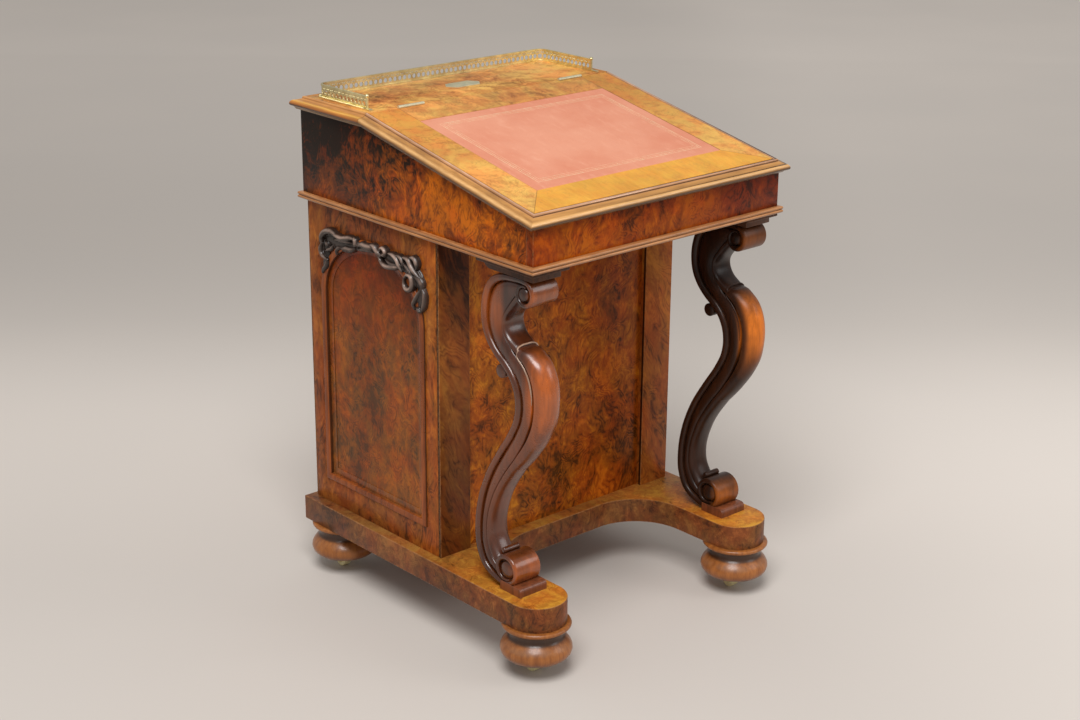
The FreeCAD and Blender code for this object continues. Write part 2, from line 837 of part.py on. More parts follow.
past_crease = top_board * math.tan(slope) + lid_gap
lid_board = box(-board_side, board_side, lid_board_front, past_crease, -top_board, 0)
leather = box(-leather_half_width, leather_half_width, leather_front, -leather_crease_margin,
              -leather_thick, 0)
lid_board = tilt(lid_board.cut(leather))
lid_leaf_front = crease_y - lid_gap / 2 - hinge_leaf_thick
for centre_x, groove in zip((-hinge_centre_x, hinge_centre_x), hinge_grooves):
    lid_board = lid_board.cut(groove)
    lid_board = lid_board.cut(leaf_recess(centre_x, lid_leaf_front, crease_y))
keep("lid_board", lid_board)
keep("lid_leather", tilt(leather))

lid_front_strip = mitred_strip(edge_profile(), V(-board_side, lid_board_front, 0),
                               V(board_side, lid_board_front, 0), V(0, -1, 0), moulding_width,
                               -top_board, moulding_bead_rise, (1, 1))
lid_side_strip = mitred_strip(edge_profile(), V(board_side, past_crease, 0),
                              V(board_side, lid_board_front, 0), V(1, 0, 0), moulding_width,
                              -top_board, moulding_bead_rise, (0, 1))
keep("lid_moulding", [tilt(lid_front_strip), tilt(lid_side_strip), mirrored(tilt(lid_side_strip))])

hinge_axis_height = top_height + hinge_axis_above_top
knuckle_length = hinge_length / 3


def knuckle(x0, x1, bore):
    start = V(x0, crease_y, hinge_axis_height)
    barrel = cylinder(hinge_knuckle_radius, start, V(1, 0, 0), x1 - x0)
    return barrel.cut(cylinder(bore, start, V(1, 0, 0), x1 - x0))


def hinge(centre_x):
    # Two outer knuckles belong to the fixed leaf, and the middle one to the lid's leaf.
    x0 = centre_x - hinge_length / 2
    x1 = centre_x + hinge_length / 2
    middle0 = x0 + knuckle_length
    middle1 = x1 - knuckle_length
    leaf_top = hinge_axis_height
    fixed = box(x0, x1, flat_front, flat_front + hinge_leaf_thick, leaf_bottom, leaf_top)
    moving = box(x0, x1, lid_leaf_front, crease_y - lid_gap / 2, leaf_bottom, leaf_top)
    room = hinge_knuckle_radius + knuckle_gap
    fixed = fixed.cut(cylinder(room, V(middle0 - knuckle_gap, crease_y, hinge_axis_height), V(1, 0, 0),
                               knuckle_length + 2 * knuckle_gap))
    for start_x, end_x in ((x0 - 1, middle0 + knuckle_gap), (middle1 - knuckle_gap, x1 + 1)):
        moving = moving.cut(cylinder(room, V(start_x, crease_y, hinge_axis_height), V(1, 0, 0),
                                     end_x - start_x))
    pin = cylinder(hinge_pin_radius, V(x0, crease_y, hinge_axis_height), V(1, 0, 0), hinge_length)
    fixed = fixed.fuse(knuckle(x0, middle0, hinge_pin_radius)).fuse(knuckle(middle1, x1, hinge_pin_radius))
    fixed = fixed.cut(pin)
    bore = hinge_pin_radius + running_fit
    moving = moving.fuse(knuckle(middle0 + knuckle_gap, middle1 - knuckle_gap, bore))
    moving = moving.cut(cylinder(bore, V(x0, crease_y, hinge_axis_height), V(1, 0, 0), hinge_length))
    return fixed, moving, pin


hinges = [hinge(side * hinge_centre_x) for side in (-1, 1)]
keep("lid_hinge_case_leaves", [pieces[0] for pieces in hinges])
keep("lid_hinge_lid_leaves", [pieces[1] for pieces in hinges])
keep("lid_hinge_pins", [pieces[2] for pieces in hinges])


# ---- Gallery and plaque -------------------------------------------------

gallery_back = case_back - gallery_back_from_case_back
gallery_front = crease_y + gallery_front_from_crease


def gallery_strip(inside, outside, front, z0, z1):
    # A strip bent round three sides, from inside to outside of the gallery's middle line.
    turn = 1 - math.sqrt(0.5)
    outer_x = gallery_half_width + outside
    outer_y = gallery_back + outside
    outer_r = gallery_corner_radius + outside
    inner_x = gallery_half_width - inside
    inner_y = gallery_back - inside
    inner_r = gallery_corner_radius - inside
    steps = [
        (-outer_x, front),
        (-outer_x, outer_y - outer_r),
        (-outer_x + turn * outer_r, outer_y - turn * outer_r, -outer_x + outer_r, outer_y),
        (outer_x - outer_r, outer_y),
        (outer_x - turn * outer_r, outer_y - turn * outer_r, outer_x, outer_y - outer_r),
        (outer_x, front),
        (inner_x, front),
        (inner_x, inner_y - inner_r),
        (inner_x - turn * inner_r, inner_y - turn * inner_r, inner_x - inner_r, inner_y),
        (-inner_x + inner_r, inner_y),
        (-inner_x + turn * inner_r, inner_y - turn * inner_r, -inner_x, inner_y - inner_r),
        (-inner_x, front),
    ]
    return prism_z(steps, z0, z1)


gallery_half_top = gallery_top_width / 2
fret_half = gallery_fret_thick / 2
rail_top = top_height + gallery_height
flange_top = top_height + gallery_rail_height
top_rail_bottom = rail_top - gallery_rail_height
keep("gallery_rails", [
    gallery_strip(gallery_half_top, gallery_flange_width, gallery_front - gallery_toe,
                  top_height, flange_top),
    gallery_strip(gallery_half_top, gallery_half_top, gallery_front, top_rail_bottom, rail_top),
])
keep("gallery_fret", gallery_strip(fret_half, fret_half, gallery_front, flange_top, top_rail_bottom))
post_centre = V(gallery_half_width, gallery_front - gallery_post_radius, flange_top)
post = cylinder(gallery_post_radius, post_centre, V(0, 0, 1), rail_top - flange_top)
finial = Part.makeSphere(gallery_finial_radius, post_centre + V(0, 0, rail_top - flange_top))
finial = finial.cut(box(0, 2 * gallery_half_width, gallery_front, gallery_back, top_height, 2 * top_height))
keep("gallery_posts", both_sides(post.fuse(finial)))

plaque_mid = crease_y + plaque_from_crease
plaque_half = plaque_length / 2
plaque_steps = [
    (-plaque_half, plaque_mid),
    (plaque_point - plaque_half, plaque_mid - plaque_depth / 2),
    (plaque_half - plaque_point, plaque_mid - plaque_depth / 2),
    (plaque_half, plaque_mid),
    (plaque_half - plaque_point, plaque_mid + plaque_depth / 2),
    (plaque_point - plaque_half, plaque_mid + plaque_depth / 2),
]
keep("top_plaque", prism_z(plaque_steps, top_height, top_height + plaque_thick))


# ---- Nest under the flat top ---------------------------------------------

nest_front = crease_y + nest_from_crease
shelf_bottom = case_floor + nest_drawer_height
shelf_top = shelf_bottom + nest_board
half_board = nest_board / 2
nest_inner = well_side - nest_board
keep("interior_nest", [
    box(-well_side, -nest_inner, nest_front, back_front, case_floor, flat_underside),
    box(nest_inner, well_side, nest_front, back_front, case_floor, flat_underside),
    box(-nest_inner, nest_inner, nest_front, back_front, shelf_bottom, shelf_top),
    box(-half_board, half_board, nest_front, back_front, case_floor, shelf_bottom),
    box(-half_board, half_board, nest_front, back_front, shelf_top, flat_underside),
])


def nest_drawer():
    # The right-hand one: its front and its open box.
    x0 = half_board + drawer_gap
    x1 = nest_inner - drawer_gap
    z0 = case_floor + drawer_rest_gap
    z1 = shelf_bottom - drawer_gap
    side_top = z1 - nest_drawer_side_drop
    behind = nest_front + nest_front_thick
    end = back_front - 2 * drawer_gap
    inner_x0 = x0 + nest_box_thick
    inner_x1 = x1 - nest_box_thick
    back_y = end - nest_box_thick
    return [
        box(x0, x1, nest_front, behind, z0, z1),
        box(x0, inner_x0, behind, end, z0, side_top),
        box(inner_x1, x1, behind, end, z0, side_top),
        box(inner_x0, inner_x1, back_y, end, z0, side_top),
        box(inner_x0, inner_x1, behind, back_y, z0, z0 + nest_box_thick / 2),
    ]


right_nest_drawer = nest_drawer()
knob_centre = V((half_board + nest_inner) / 2, nest_front, case_floor + nest_drawer_height / 2)
right_nest_knob = turned_knob(nest_knob_radius, nest_knob_radius / 2, nest_knob_length, knob_centre,
                              V(0, -1, 0))
keep("nest_drawer_right", right_nest_drawer)
keep("nest_drawer_left", [mirrored(piece) for piece in right_nest_drawer])
keep("nest_knob_right", right_nest_knob)
keep("nest_knob_left", mirrored(right_nest_knob))


# ---- Files ----------------------------------------------------------------

os.makedirs("parts", exist_ok=True)
for name, solids in parts.items():
    shape = solids[0] if len(solids) == 1 else Part.makeCompound(solids)
    valid = all(piece.isValid() for piece in solids)
    print(name, len(solids), "solids", "valid" if valid else "NOT VALID")
    shape.exportStep("parts/" + name + ".step")
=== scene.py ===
import json
import math
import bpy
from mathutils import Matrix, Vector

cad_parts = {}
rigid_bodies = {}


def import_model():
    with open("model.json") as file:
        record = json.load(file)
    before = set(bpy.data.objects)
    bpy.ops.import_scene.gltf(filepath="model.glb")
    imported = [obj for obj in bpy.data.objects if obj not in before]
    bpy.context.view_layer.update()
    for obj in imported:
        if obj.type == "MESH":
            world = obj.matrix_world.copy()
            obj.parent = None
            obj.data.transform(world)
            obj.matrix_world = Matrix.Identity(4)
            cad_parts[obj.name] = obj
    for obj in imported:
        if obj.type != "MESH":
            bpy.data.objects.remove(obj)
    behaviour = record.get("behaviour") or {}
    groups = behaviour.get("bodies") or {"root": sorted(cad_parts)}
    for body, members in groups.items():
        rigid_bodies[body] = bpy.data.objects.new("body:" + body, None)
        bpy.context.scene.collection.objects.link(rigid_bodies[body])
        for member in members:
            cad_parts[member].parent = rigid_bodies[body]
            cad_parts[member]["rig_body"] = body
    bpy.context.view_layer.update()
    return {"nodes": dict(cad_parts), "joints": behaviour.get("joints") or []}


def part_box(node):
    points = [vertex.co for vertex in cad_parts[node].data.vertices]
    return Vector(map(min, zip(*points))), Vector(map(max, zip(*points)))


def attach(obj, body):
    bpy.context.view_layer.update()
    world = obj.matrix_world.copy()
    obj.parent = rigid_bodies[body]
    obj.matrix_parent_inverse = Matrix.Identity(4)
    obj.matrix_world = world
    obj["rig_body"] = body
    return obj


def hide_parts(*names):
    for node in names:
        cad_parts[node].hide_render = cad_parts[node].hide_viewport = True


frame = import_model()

from fnmatch import fnmatch

import bmesh
import bpy
import numpy as np
from mathutils import Matrix, Vector

scene = bpy.context.scene
for leftover in ("Cube", "Light", "Camera"):
    if leftover in bpy.data.objects:
        bpy.data.objects.remove(bpy.data.objects[leftover])

mm = 0.001
quarter = math.pi / 2
bodyOf = {name: node["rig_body"] for name, node in frame["nodes"].items()}
jointAt = {joint["name"]: joint for joint in frame["joints"]}


def newObject(name, data):
    obj = bpy.data.objects.new(name, data)
    scene.collection.objects.link(obj)
    return obj


# Camera and lights

view = {
    "place": (-2.0467, -2.2751, 1.5014),
    "heading": 42.0,  # degrees from +Y towards +X
    "down": 19.73,
    "roll": 0.46,
    "lens": 63.96,
    "sensor": 36.0,
}
lamps = {
    "keyLight": {"place": (-2.1, -1.9, 4.3), "target": (0.0, 0.0, 0.5), "size": 2.6, "power": 185.0},
    "fillLight": {"place": (1.9, -2.6, 2.1), "target": (0.0, 0.0, 0.4), "size": 1.6, "power": 16.0},
}
room = {"colour": (1.0, 0.985, 0.965), "strength": 0.42}
heading = math.radians(view["heading"])
sightLine = (math.sin(heading), math.cos(heading), 0.0)
sideLine = (math.cos(heading), -math.sin(heading), 0.0)


def addCamera():
    down, roll = math.radians(view["down"]), math.radians(view["roll"])
    level = Vector(sideLine)
    forward = Vector(sightLine) * math.cos(down) - Vector((0.0, 0.0, math.sin(down)))
    rise = level.cross(forward)
    right = level * math.cos(roll) + rise * math.sin(roll)
    up = rise * math.cos(roll) - level * math.sin(roll)
    camera = newObject("camera", bpy.data.cameras.new("camera"))
    camera.data.lens = view["lens"]
    camera.data.sensor_width = view["sensor"]
    facing = Matrix((right, up, -forward)).transposed().to_4x4()
    camera.matrix_world = Matrix.Translation(view["place"]) @ facing
    scene.camera = camera


def addLights():
    for name, lamp in lamps.items():
        data = bpy.data.lights.new(name, "AREA")
        data.shape = "DISK"
        data.size = lamp["size"]
        data.energy = lamp["power"]
        aim = (Vector(lamp["target"]) - Vector(lamp["place"])).to_track_quat("-Z", "Y").to_matrix().to_4x4()
        newObject(name, data).matrix_world = Matrix.Translation(lamp["place"]) @ aim
    scene.world = bpy.data.worlds.new("softRoom")
    scene.world.use_nodes = True
    background = scene.world.node_tree.nodes["Background"]
    background.inputs["Color"].default_value = (*room["colour"], 1.0)
    background.inputs["Strength"].default_value = room["strength"]


# Node helpers: each adds to the tree that is being drawn

drawing = {"tree": None}
# Group sockets that aren't plain numbers.
kinds = {"Vector": "Vector", "Geometry": "Geometry", "Material": "Material", "Pin Hole Place": "Vector",
         "Rib Size": "Vector", **dict.fromkeys(("Color", "Dark", "Mid", "Light", "Rubbed"), "Color")}


class Field:
    # A node's output, open to plain arithmetic.
    def __init__(self, socket):
        self.socket = socket

    def __add__(self, other):
        return maths("ADD", self, other)

    def __sub__(self, other):
        return maths("SUBTRACT", self, other)

    def __mul__(self, other):
        return maths("MULTIPLY", self, other)

    def __truediv__(self, other):
        return maths("DIVIDE", self, other)

    def __abs__(self):
        return maths("ABSOLUTE", self)


def connect(value, socket):
    if isinstance(value, Field):
        drawing["tree"].links.new(value.socket, socket)
    else:
        socket.default_value = (*value, 1.0) if socket.type == "RGBA" else value


def addNode(kind, links=None, **settings):
    node = drawing["tree"].nodes.new(kind if "Node" in kind else "ShaderNode" + kind)
    for key, value in settings.items():
        setattr(node, key, value)
    for key, value in (links or {}).items():
        connect(value, node.inputs[key])
    return node


def wire(kind, links=None, pick=0, **settings):
    # Adds a node and gives one of its outputs.
    return Field(addNode(kind, links, **settings).outputs[pick])


def allOf(node):
    return {socket.name: Field(socket) for socket in node.outputs}


def maths(operation, first, second=0.5):
    return wire("Math", {0: first, 1: second}, operation=operation)


def vectors(operation, first, second):
    pick = "Value" if operation == "DOT_PRODUCT" else 0
    return wire("VectorMath", {0: first, 1: second}, pick, operation=operation)


def scaled(vector, factor):
    return wire("VectorMath", {0: vector, "Scale": factor}, operation="SCALE")


def tinted(vector, by):
    return vectors("MULTIPLY", vector, by)


def vectorOf(x=0.0, y=0.0, z=0.0):
    return wire("CombineXYZ", {"X": x, "Y": y, "Z": z})


def axisOf(vector, axis):
    return wire("SeparateXYZ", {0: vector}, axis)


def mix(factor, first, second):
    return wire("Mix", {0: factor, 6: first, 7: second}, 2, data_type="RGBA")


def soften(value, low, high, outLow=0.0, outHigh=1.0):
    links = {"Value": value, "From Min": low, "From Max": high, "To Min": outLow, "To Max": outHigh}
    return wire("MapRange", links, interpolation_type="SMOOTHSTEP")


def noise(vector, scale, detail=3.0, roughness=0.5, distortion=0.0, pick="Fac"):
    return wire("TexNoise", {"Vector": vector, "Scale": scale, "Detail": detail, "Roughness": roughness,
                             "Distortion": distortion}, pick)


def rampColour(factor, stops, blend="LINEAR"):
    colour = wire("ValToRGB", {"Fac": factor})
    ramp = colour.socket.node.color_ramp
    ramp.interpolation = blend
    while len(ramp.elements) < len(stops):
        ramp.elements.new(0.5)
    for element, (position, tone) in zip(ramp.elements, stops):
        element.position = position
        element.color = (*tone, 1.0)
    return colour


def attribute(name):
    return wire("Attribute", pick="Fac", attribute_name=name)


def ownPlace():
    return wire("TexCoord", pick="Object")


def ownNormal():
    # The normal in the piece's own space, so that a lid keeps its colours when it is raised.
    return wire("TexCoord", pick="Normal")


def facingUp():
    return axisOf(ownNormal(), "Z")


def turned(turn=(0.0, 0.0, 0.0), shift=(0.0, 0.0, 0.0)):
    return wire("Mapping", {"Vector": ownPlace(), "Rotation": turn, "Location": shift})


def bump(height, strength, distance):
    return wire("Bump", {"Height": height, "Strength": strength, "Distance": distance})


def newTree(kind, name, inputs, outputs):
    # A node group, what it is given and the sockets of its result.
    tree = bpy.data.node_groups.new(name, kind + "NodeTree")
    for way, labels in (("INPUT", inputs), ("OUTPUT", outputs)):
        for label in labels:
            socketType = "NodeSocket" + kinds.get(label, "Float")
            tree.interface.new_socket(label, in_out=way, socket_type=socketType)
    drawing["tree"] = tree
    return tree, allOf(tree.nodes.new("NodeGroupInput")), tree.nodes.new("NodeGroupOutput").inputs


def useGroup(group, links):
    return allOf(addNode("Group", links, node_tree=group))


def newMaterial(name):
    material = bpy.data.materials.new(name)
    material.use_nodes = True
    drawing["tree"] = material.node_tree
    material.node_tree.nodes.clear()
    return material


def surfaced(material, links):
    shader = wire("BsdfPrincipled", links)
    addNode("OutputMaterial", {"Surface": shader}).is_active_output = True
    return material


# Floor

paper = {
    "radius": 30.0,
    "segments": 96,
    "tint": (1.0, 0.915, 0.838),
    "from": -0.6,
    "to": 5.0,
    # How pale the paper is painted, from near to far: painted light and shade on a plain paper.
    "tones": [(0.0, 0.625), (0.11, 0.66), (0.18, 0.75), (0.27, 0.77), (0.36, 0.6), (0.5, 0.59), (0.68, 0.7),
              (0.96, 0.84)],
    # Painted light: the paper is painted paler towards the right.
    "rightLift": 1.14,
    "mottle": (0.5, 0.5, 0.5),
}


def addFloor():
    mesh = bpy.data.meshes.new("floor")
    bm = bmesh.new()
    bmesh.ops.create_circle(bm, cap_ends=True, radius=paper["radius"], segments=paper["segments"])
    bm.to_mesh(mesh)
    bm.free()
    floor = newObject("floor", mesh)
    material = newMaterial("floorPaper")
    here = ownPlace()
    share = wire("MapRange", {"Value": vectors("DOT_PRODUCT", here, sightLine), "From Min": paper["from"],
                              "From Max": paper["to"]})
    stops = [(at, tuple(tone * c for c in paper["tint"])) for at, tone in paper["tones"]]
    # Painted light and shade: the tone runs from near to far and is lifted towards the right.
    lift = soften(vectors("DOT_PRODUCT", here, sideLine), 0.35, 1.1, 1.0, paper["rightLift"])
    colour = scaled(rampColour(share, stops, "B_SPLINE"), lift)
    colour = mix(soften(noise(here, 1.3, 2.0), 0.3, 0.7, 0.0, 0.06), colour, paper["mottle"])
    surfaced(material, {"Base Color": colour, "Roughness": 0.9, "Specular IOR Level": 0.1})
    mesh.materials.append(material)


addCamera()
addLights()
addFloor()
scene.view_settings.view_transform = "Standard"
print("stage: camera, light and floor")


# Shared shader groups

def warped(vector, scale, amount):
    bend = noise(vector, scale, 2.0, pick="Color")
    return vectors("ADD", vector, scaled(vectors("SUBTRACT", bend, (0.5, 0.5, 0.5)), amount))


def burrGroup():
    # Burr veneer: soft clouds, nested curling contours, fine mottling and clusters of eyes.
    inputs = ("Vector", "Scale", "Drawn", "Dark", "Mid", "Light", "Clouds", "Curls", "Eyes", "Tone")
    tree, given, result = newTree("Shader", "burrFigure", inputs, ("Color", "Relief"))
    placed = scaled(given["Vector"], given["Scale"])
    drawn = tinted(placed, vectorOf(1.0, 1.0, given["Drawn"]))
    bent = warped(warped(drawn, 9.0, 0.06), 38.0, 0.014)
    cloud = noise(bent, 8.0, 3.0, 0.55)
    patch = noise(bent, 58.0, 3.0, 0.55, 0.5)
    mottle = noise(bent, 230.0, 3.0, 0.6)
    ring = maths("PINGPONG", noise(bent, 19.0, 2.0, 0.45, 0.6) * 17.0, 0.5) * 2.0
    strength = soften(noise(placed, 24.0, 2.0), 0.38, 0.62, 0.15, 1.0)
    tone = (cloud - 0.5) * (given["Clouds"] * 1.9) + (patch - 0.5) * 1.5 + (mottle - 0.5) * 0.75
    tone = tone + (ring - 0.55) * strength * (given["Curls"] * 0.62) + given["Tone"] + 0.5
    colour = mix(soften(tone, 0.02, 0.5), given["Dark"], given["Mid"])
    colour = mix(soften(tone, 0.42, 1.02), colour, given["Light"])
    # Redder and yellower patches.
    hue = soften(noise(drawn, 21.0, 3.0, 0.6), 0.36, 0.64)
    colour = mix(hue, tinted(colour, (1.05, 0.86, 0.8)), tinted(colour, (1.0, 1.1, 1.0)))
    # Thin dark lines where the contours are strongest, eyes in clusters, and flecks.
    ink = scaled(colour, 0.3)
    line = soften(ring, 0.0, 0.24, 1.0, 0.0) * soften(strength, 0.5, 1.0)
    pips = wire("TexVoronoi", {"Vector": bent, "Scale": 105.0, "Randomness": 1.0}, "Distance")
    clusters = soften(noise(placed, 13.0, 2.0), 0.5, 0.62)
    eye = soften(pips, 0.06, 0.26, 1.0, 0.0) * clusters * given["Eyes"]
    fleck = soften(noise(drawn, 900.0, 2.0), 0.32, 0.42, 0.16, 0.0)
    for mask in (line * (given["Curls"] * 0.75), eye, fleck):
        colour = mix(mask, colour, ink)
    connect(colour, result["Color"])
    connect(mottle - eye * 0.4, result["Relief"])
    return tree


def grainGroup():
    # Straight timber with its grain along X: broad ribbons, fine streaks and pores.
    inputs = ("Vector", "Scale", "Dark", "Light", "Ribbon", "Pores")
    tree, given, result = newTree("Shader", "straightGrain", inputs, ("Color", "Relief"))
    bent = warped(scaled(given["Vector"], given["Scale"]), 4.0, 0.02)
    long = tinted(bent, (0.09, 1.0, 1.0))
    ribbon = noise(long, 32.0, 4.0, 0.6, 0.3)
    streak = noise(long, 190.0, 5.0, 0.65)
    pore = noise(tinted(bent, (0.035, 1.0, 1.0)), 1250.0, 2.0)
    tone = (ribbon - 0.5) * given["Ribbon"] + (streak * 0.9 + 0.05)
    opened = soften(pore, 0.3, 0.42, 1.0, 0.0) * given["Pores"]
    colour = mix(soften(tone, 0.22, 0.78), given["Dark"], given["Light"])
    connect(mix(opened, colour, given["Dark"]), result["Color"])
    connect(streak - opened * 0.5, result["Relief"])
    return tree


def ageGroup():
    # Two centuries of handling: dull patches, grime in the hollows, rubbed edges and fine scratches.
    inputs = ("Vector", "Color", "Rubbed", "Wear", "Grime", "Roughness")
    tree, given, result = newTree("Shader", "agedSurface", inputs, ("Color", "Roughness", "Scratches"))
    broad = noise(given["Vector"], 7.0, 3.0, 0.6)
    fine = noise(given["Vector"], 160.0, 4.0, 0.6)
    rub = attribute("wear") * soften(fine, 0.3, 0.62) * given["Wear"]
    dirty = attribute("hollow") * given["Grime"] * soften(fine, 0.1, 0.6, 0.75, 1.0)
    toned = scaled(given["Color"], soften(broad, 0.25, 0.75, 0.82, 1.14))
    connect(mix(rub, mix(dirty, toned, (0.012, 0.007, 0.004)), given["Rubbed"]), result["Color"])
    rough = soften(broad, 0.3, 0.7) * 0.1 + given["Roughness"]
    connect(dirty * 0.25 + (fine * 0.08 + rough), result["Roughness"])
    connect(noise(tinted(given["Vector"], (1.0, 0.2, 1.0)), 420.0, 2.0), result["Scratches"])
    return tree


burrFigure = burrGroup()
straightGrain = grainGroup()
agedSurface = ageGroup()


# Burr and straight-grained timber

alongX = (0.0, 0.0, 0.0)
alongY = (0.0, 0.0, quarter)
alongZ = (0.0, quarter, 0.0)
plainFinish = dict(rubbed=(0.42, 0.2, 0.08), wear=0.55, grime=0.8, roughness=0.2, bump=0.18,
                   coat=0.0, specular=0.22)
plainBurr = dict(scale=1.0, drawn=0.5, clouds=1.0, curls=0.7, eyes=0.6)
insideWood = dict(dark=(0.42, 0.25, 0.1), light=(0.68, 0.46, 0.22), scale=1.3)
ageLabels = ("Rubbed", "Wear", "Grime", "Roughness")
burrLabels = ("Scale", "Drawn", "Dark", "Mid", "Light", "Clouds", "Curls", "Eyes")


def polished(material, coords, colour, relief, finish):
    # Runs a figure through the ageing group and sets up french polish over it.
    finish = {**plainFinish, **finish}
    own = {label: finish[label.lower()] for label in ageLabels}
    aged = useGroup(agedSurface, {"Vector": coords, "Color": colour, **own})
    return surfaced(material, {
        "Base Color": aged["Color"],
        "Roughness": aged["Roughness"],
        "Normal": bump(aged["Scratches"] * 0.12 + relief, finish["bump"], 0.4 * mm),
        "Coat Weight": finish["coat"],
        "Coat Roughness": 0.12,
        "Specular IOR Level": finish["specular"],
    })


def reached(path, first=0.0, last=1.0):
    # How far a point lies along a run, from its start to its end.
    offset = vectors("SUBTRACT", ownPlace(), path["start"])
    return soften(vectors("DOT_PRODUCT", offset, path["along"]), 0.0, 1.0, first, last)


def graded(colour, path):
    # Tints a colour, more or less from one place to another.
    return tinted(colour, mix(reached(path), path["first"], path["last"]))


def burr(figure, coords):
    # The burr group with a figure's values; a painted-shade run, if given, darkens or lightens the leaf
    # along it.
    figure = {**plainBurr, **figure}
    tone = figure.get("tone", 0.0)
    if "paintedShade" in figure:
        tone = reached(figure["paintedShade"], tone + figure["paintedShade"]["first"], tone + figure["paintedShade"]["last"])
    own = {label: figure[label.lower()] for label in burrLabels}
    return useGroup(burrFigure, {"Vector": coords, "Tone": tone, **own})


def grain(coords, dark, light, ribbon=0.6, pores=0.5, scale=1.0):
    return useGroup(straightGrain, {"Vector": coords, "Scale": scale, "Dark": dark, "Light": light,
                                    "Ribbon": ribbon, "Pores": pores})


def burrColour(figure):
    coords = turned(figure.get("turn", alongX), figure.get("shift", (0.0, 0.0, 0.0)))
    made = burr(figure, coords)
    colour = graded(made["Color"], figure["grade"]) if "grade" in figure else made["Color"]
    if "seam" in figure:
        # The dark open joint between the false door's edge and the stile beside it.
        away = abs(axisOf(ownPlace(), "Y") - figure["seam"])
        colour = mix(soften(away, 1.7 * mm, 2.6 * mm, 0.92, 0.0), colour, (0.012, 0.005, 0.003))
    if "inside" in figure:
        # Faces that look towards the middle of the case are plain.
        outward = vectors("DOT_PRODUCT", vectors("SUBTRACT", ownPlace(), figure["inside"]), ownNormal())
        plain = grain(ownPlace(), **insideWood)["Color"]
        colour = mix(soften(outward, -0.2, -0.15, 1.0, 0.0), colour, plain)
    return coords, colour, made["Relief"]


def burrMaterial(name, figure, finish):
    material = newMaterial(name)
    return polished(material, *burrColour(figure), finish)


def grainMaterial(name, wood, **finish):
    material = newMaterial(name)
    coords = turned()
    made = grain(coords, **wood)
    return polished(material, coords, made["Color"], made["Relief"], finish)


def leg(start, along, first, last):
    return {"start": start, "along": along, "first": first, "last": last}


unchanged = (1.0, 1.0, 1.0)
darkBurr = dict(dark=(0.045, 0.014, 0.004), mid=(0.23, 0.052, 0.006), light=(0.46, 0.135, 0.010),
                drawn=0.75)
# Painted shade on the case sides and drawer fronts: darker towards the back and top, paler towards the
# front and bottom.
sideBurr = dict(darkBurr, dark=(0.022, 0.009, 0.004), mid=(0.22, 0.046, 0.004), light=(0.56, 0.125, 0.004),
                curls=0.5, eyes=0.45, shift=(0.3, 0.9, 0.2),
                paintedShade=leg((0.0, 0.24, 0.82), (0.0, -1.2, -4.6), -0.56, 0.3),
                grade=leg((0.0, 0.29, 0.0), (0.0, -4.0, 0.0), (0.48, 0.4, 0.25), unchanged))
backBurr = dict(darkBurr, curls=0.5, eyes=0.45, shift=(0.6, 0.2, 0.5))
apronBurr = dict(darkBurr, dark=(0.07, 0.013, 0.001), mid=(0.25, 0.045, 0.002), light=(0.43, 0.1, 0.003),
                 scale=1.1, drawn=0.7, curls=0.5, shift=(0.15, 0.0, 0.0),
                 grade=leg((-0.05, 0.0, 0.0), (4.0, 0.0, 0.0), (1.0, 0.92, 0.6), (0.64, 0.42, 0.12)))
kneeBurr = dict(darkBurr, dark=(0.085, 0.026, 0.004), mid=(0.32, 0.084, 0.009), light=(0.58, 0.2, 0.016),
                curls=0.6, clouds=0.75,
                grade=leg((-0.07, 0.0, 0.0), (5.0, 0.0, 0.0), (1.06, 1.0, 0.8), (0.88, 0.7, 0.5)))
doorBurr = dict(darkBurr, dark=(0.1, 0.045, 0.023), mid=(0.225, 0.07, 0.02), light=(0.38, 0.108, 0.018),
                scale=1.15, tone=0.03, curls=0.5, clouds=0.95, shift=(0.0, 0.35, 0.1),
                grade=leg((0.0, 0.0, 0.6), (0.0, 0.0, -5.5), (0.62, 0.32, 0.06), (1.0, 0.97, 0.9)))
frameBurr = dict(darkBurr, dark=(0.085, 0.023, 0.006), mid=(0.245, 0.064, 0.012), light=(0.4, 0.125, 0.02),
                 drawn=0.5, clouds=0.9, curls=0.5, eyes=0.4, shift=(0.4, 0.1, 0.7),
                 grade=leg((0.0, 0.02, 0.0), (0.0, -22.0, 0.0), unchanged, (1.3, 1.35, 1.2)))
stileBurr = dict(frameBurr, turn=(0.0, 0.45, 0.0), drawn=0.4, clouds=0.8,
                 grade=leg((-0.19, 0.0, 0.0), (8.0, 0.0, 0.0), (0.62, 0.66, 0.7), (1.15, 1.12, 1.0)))
topBurr = dict(dark=(0.2, 0.075, 0.02), mid=(0.45, 0.2, 0.055), light=(0.7, 0.36, 0.1), eyes=0.35,
               curls=0.4, drawn=1.0, clouds=0.9, tone=0.1)
polish = dict(roughness=0.24, specular=0.15)
worn = dict(roughness=0.3)

caseMiddle = tuple((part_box("case_side_left")[0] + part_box("case_side_right")[1]) / 2)
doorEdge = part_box("false_door_frame")[0].y
figuredSides = burrMaterial("figuredSides", dict(sideBurr, inside=caseMiddle), polish)
figuredFronts = burrMaterial("figuredFronts", sideBurr, polish)
figuredBack = burrMaterial("figuredBack", dict(backBurr, inside=caseMiddle), polish)
figuredApron = burrMaterial("figuredApron", dict(apronBurr, inside=caseMiddle), polish)
figuredKnee = burrMaterial("figuredKnee", kneeBurr, polish)
figuredDoor = burrMaterial("figuredDoor", doorBurr, polish)
figuredTop = burrMaterial("figuredTop", topBurr, worn)
figuredFrame = burrMaterial("figuredFrame", dict(frameBurr, seam=doorEdge), polish)
figuredStiles = burrMaterial("figuredStiles", dict(stileBurr, seam=doorEdge), polish)
levelWood = dict(dark=(0.08, 0.026, 0.008), light=(0.34, 0.11, 0.025), ribbon=1.3)
levelWalnut = grainMaterial("levelWalnut", levelWood, **polish)
print("stage: shader groups")


# Faded plinth and lid

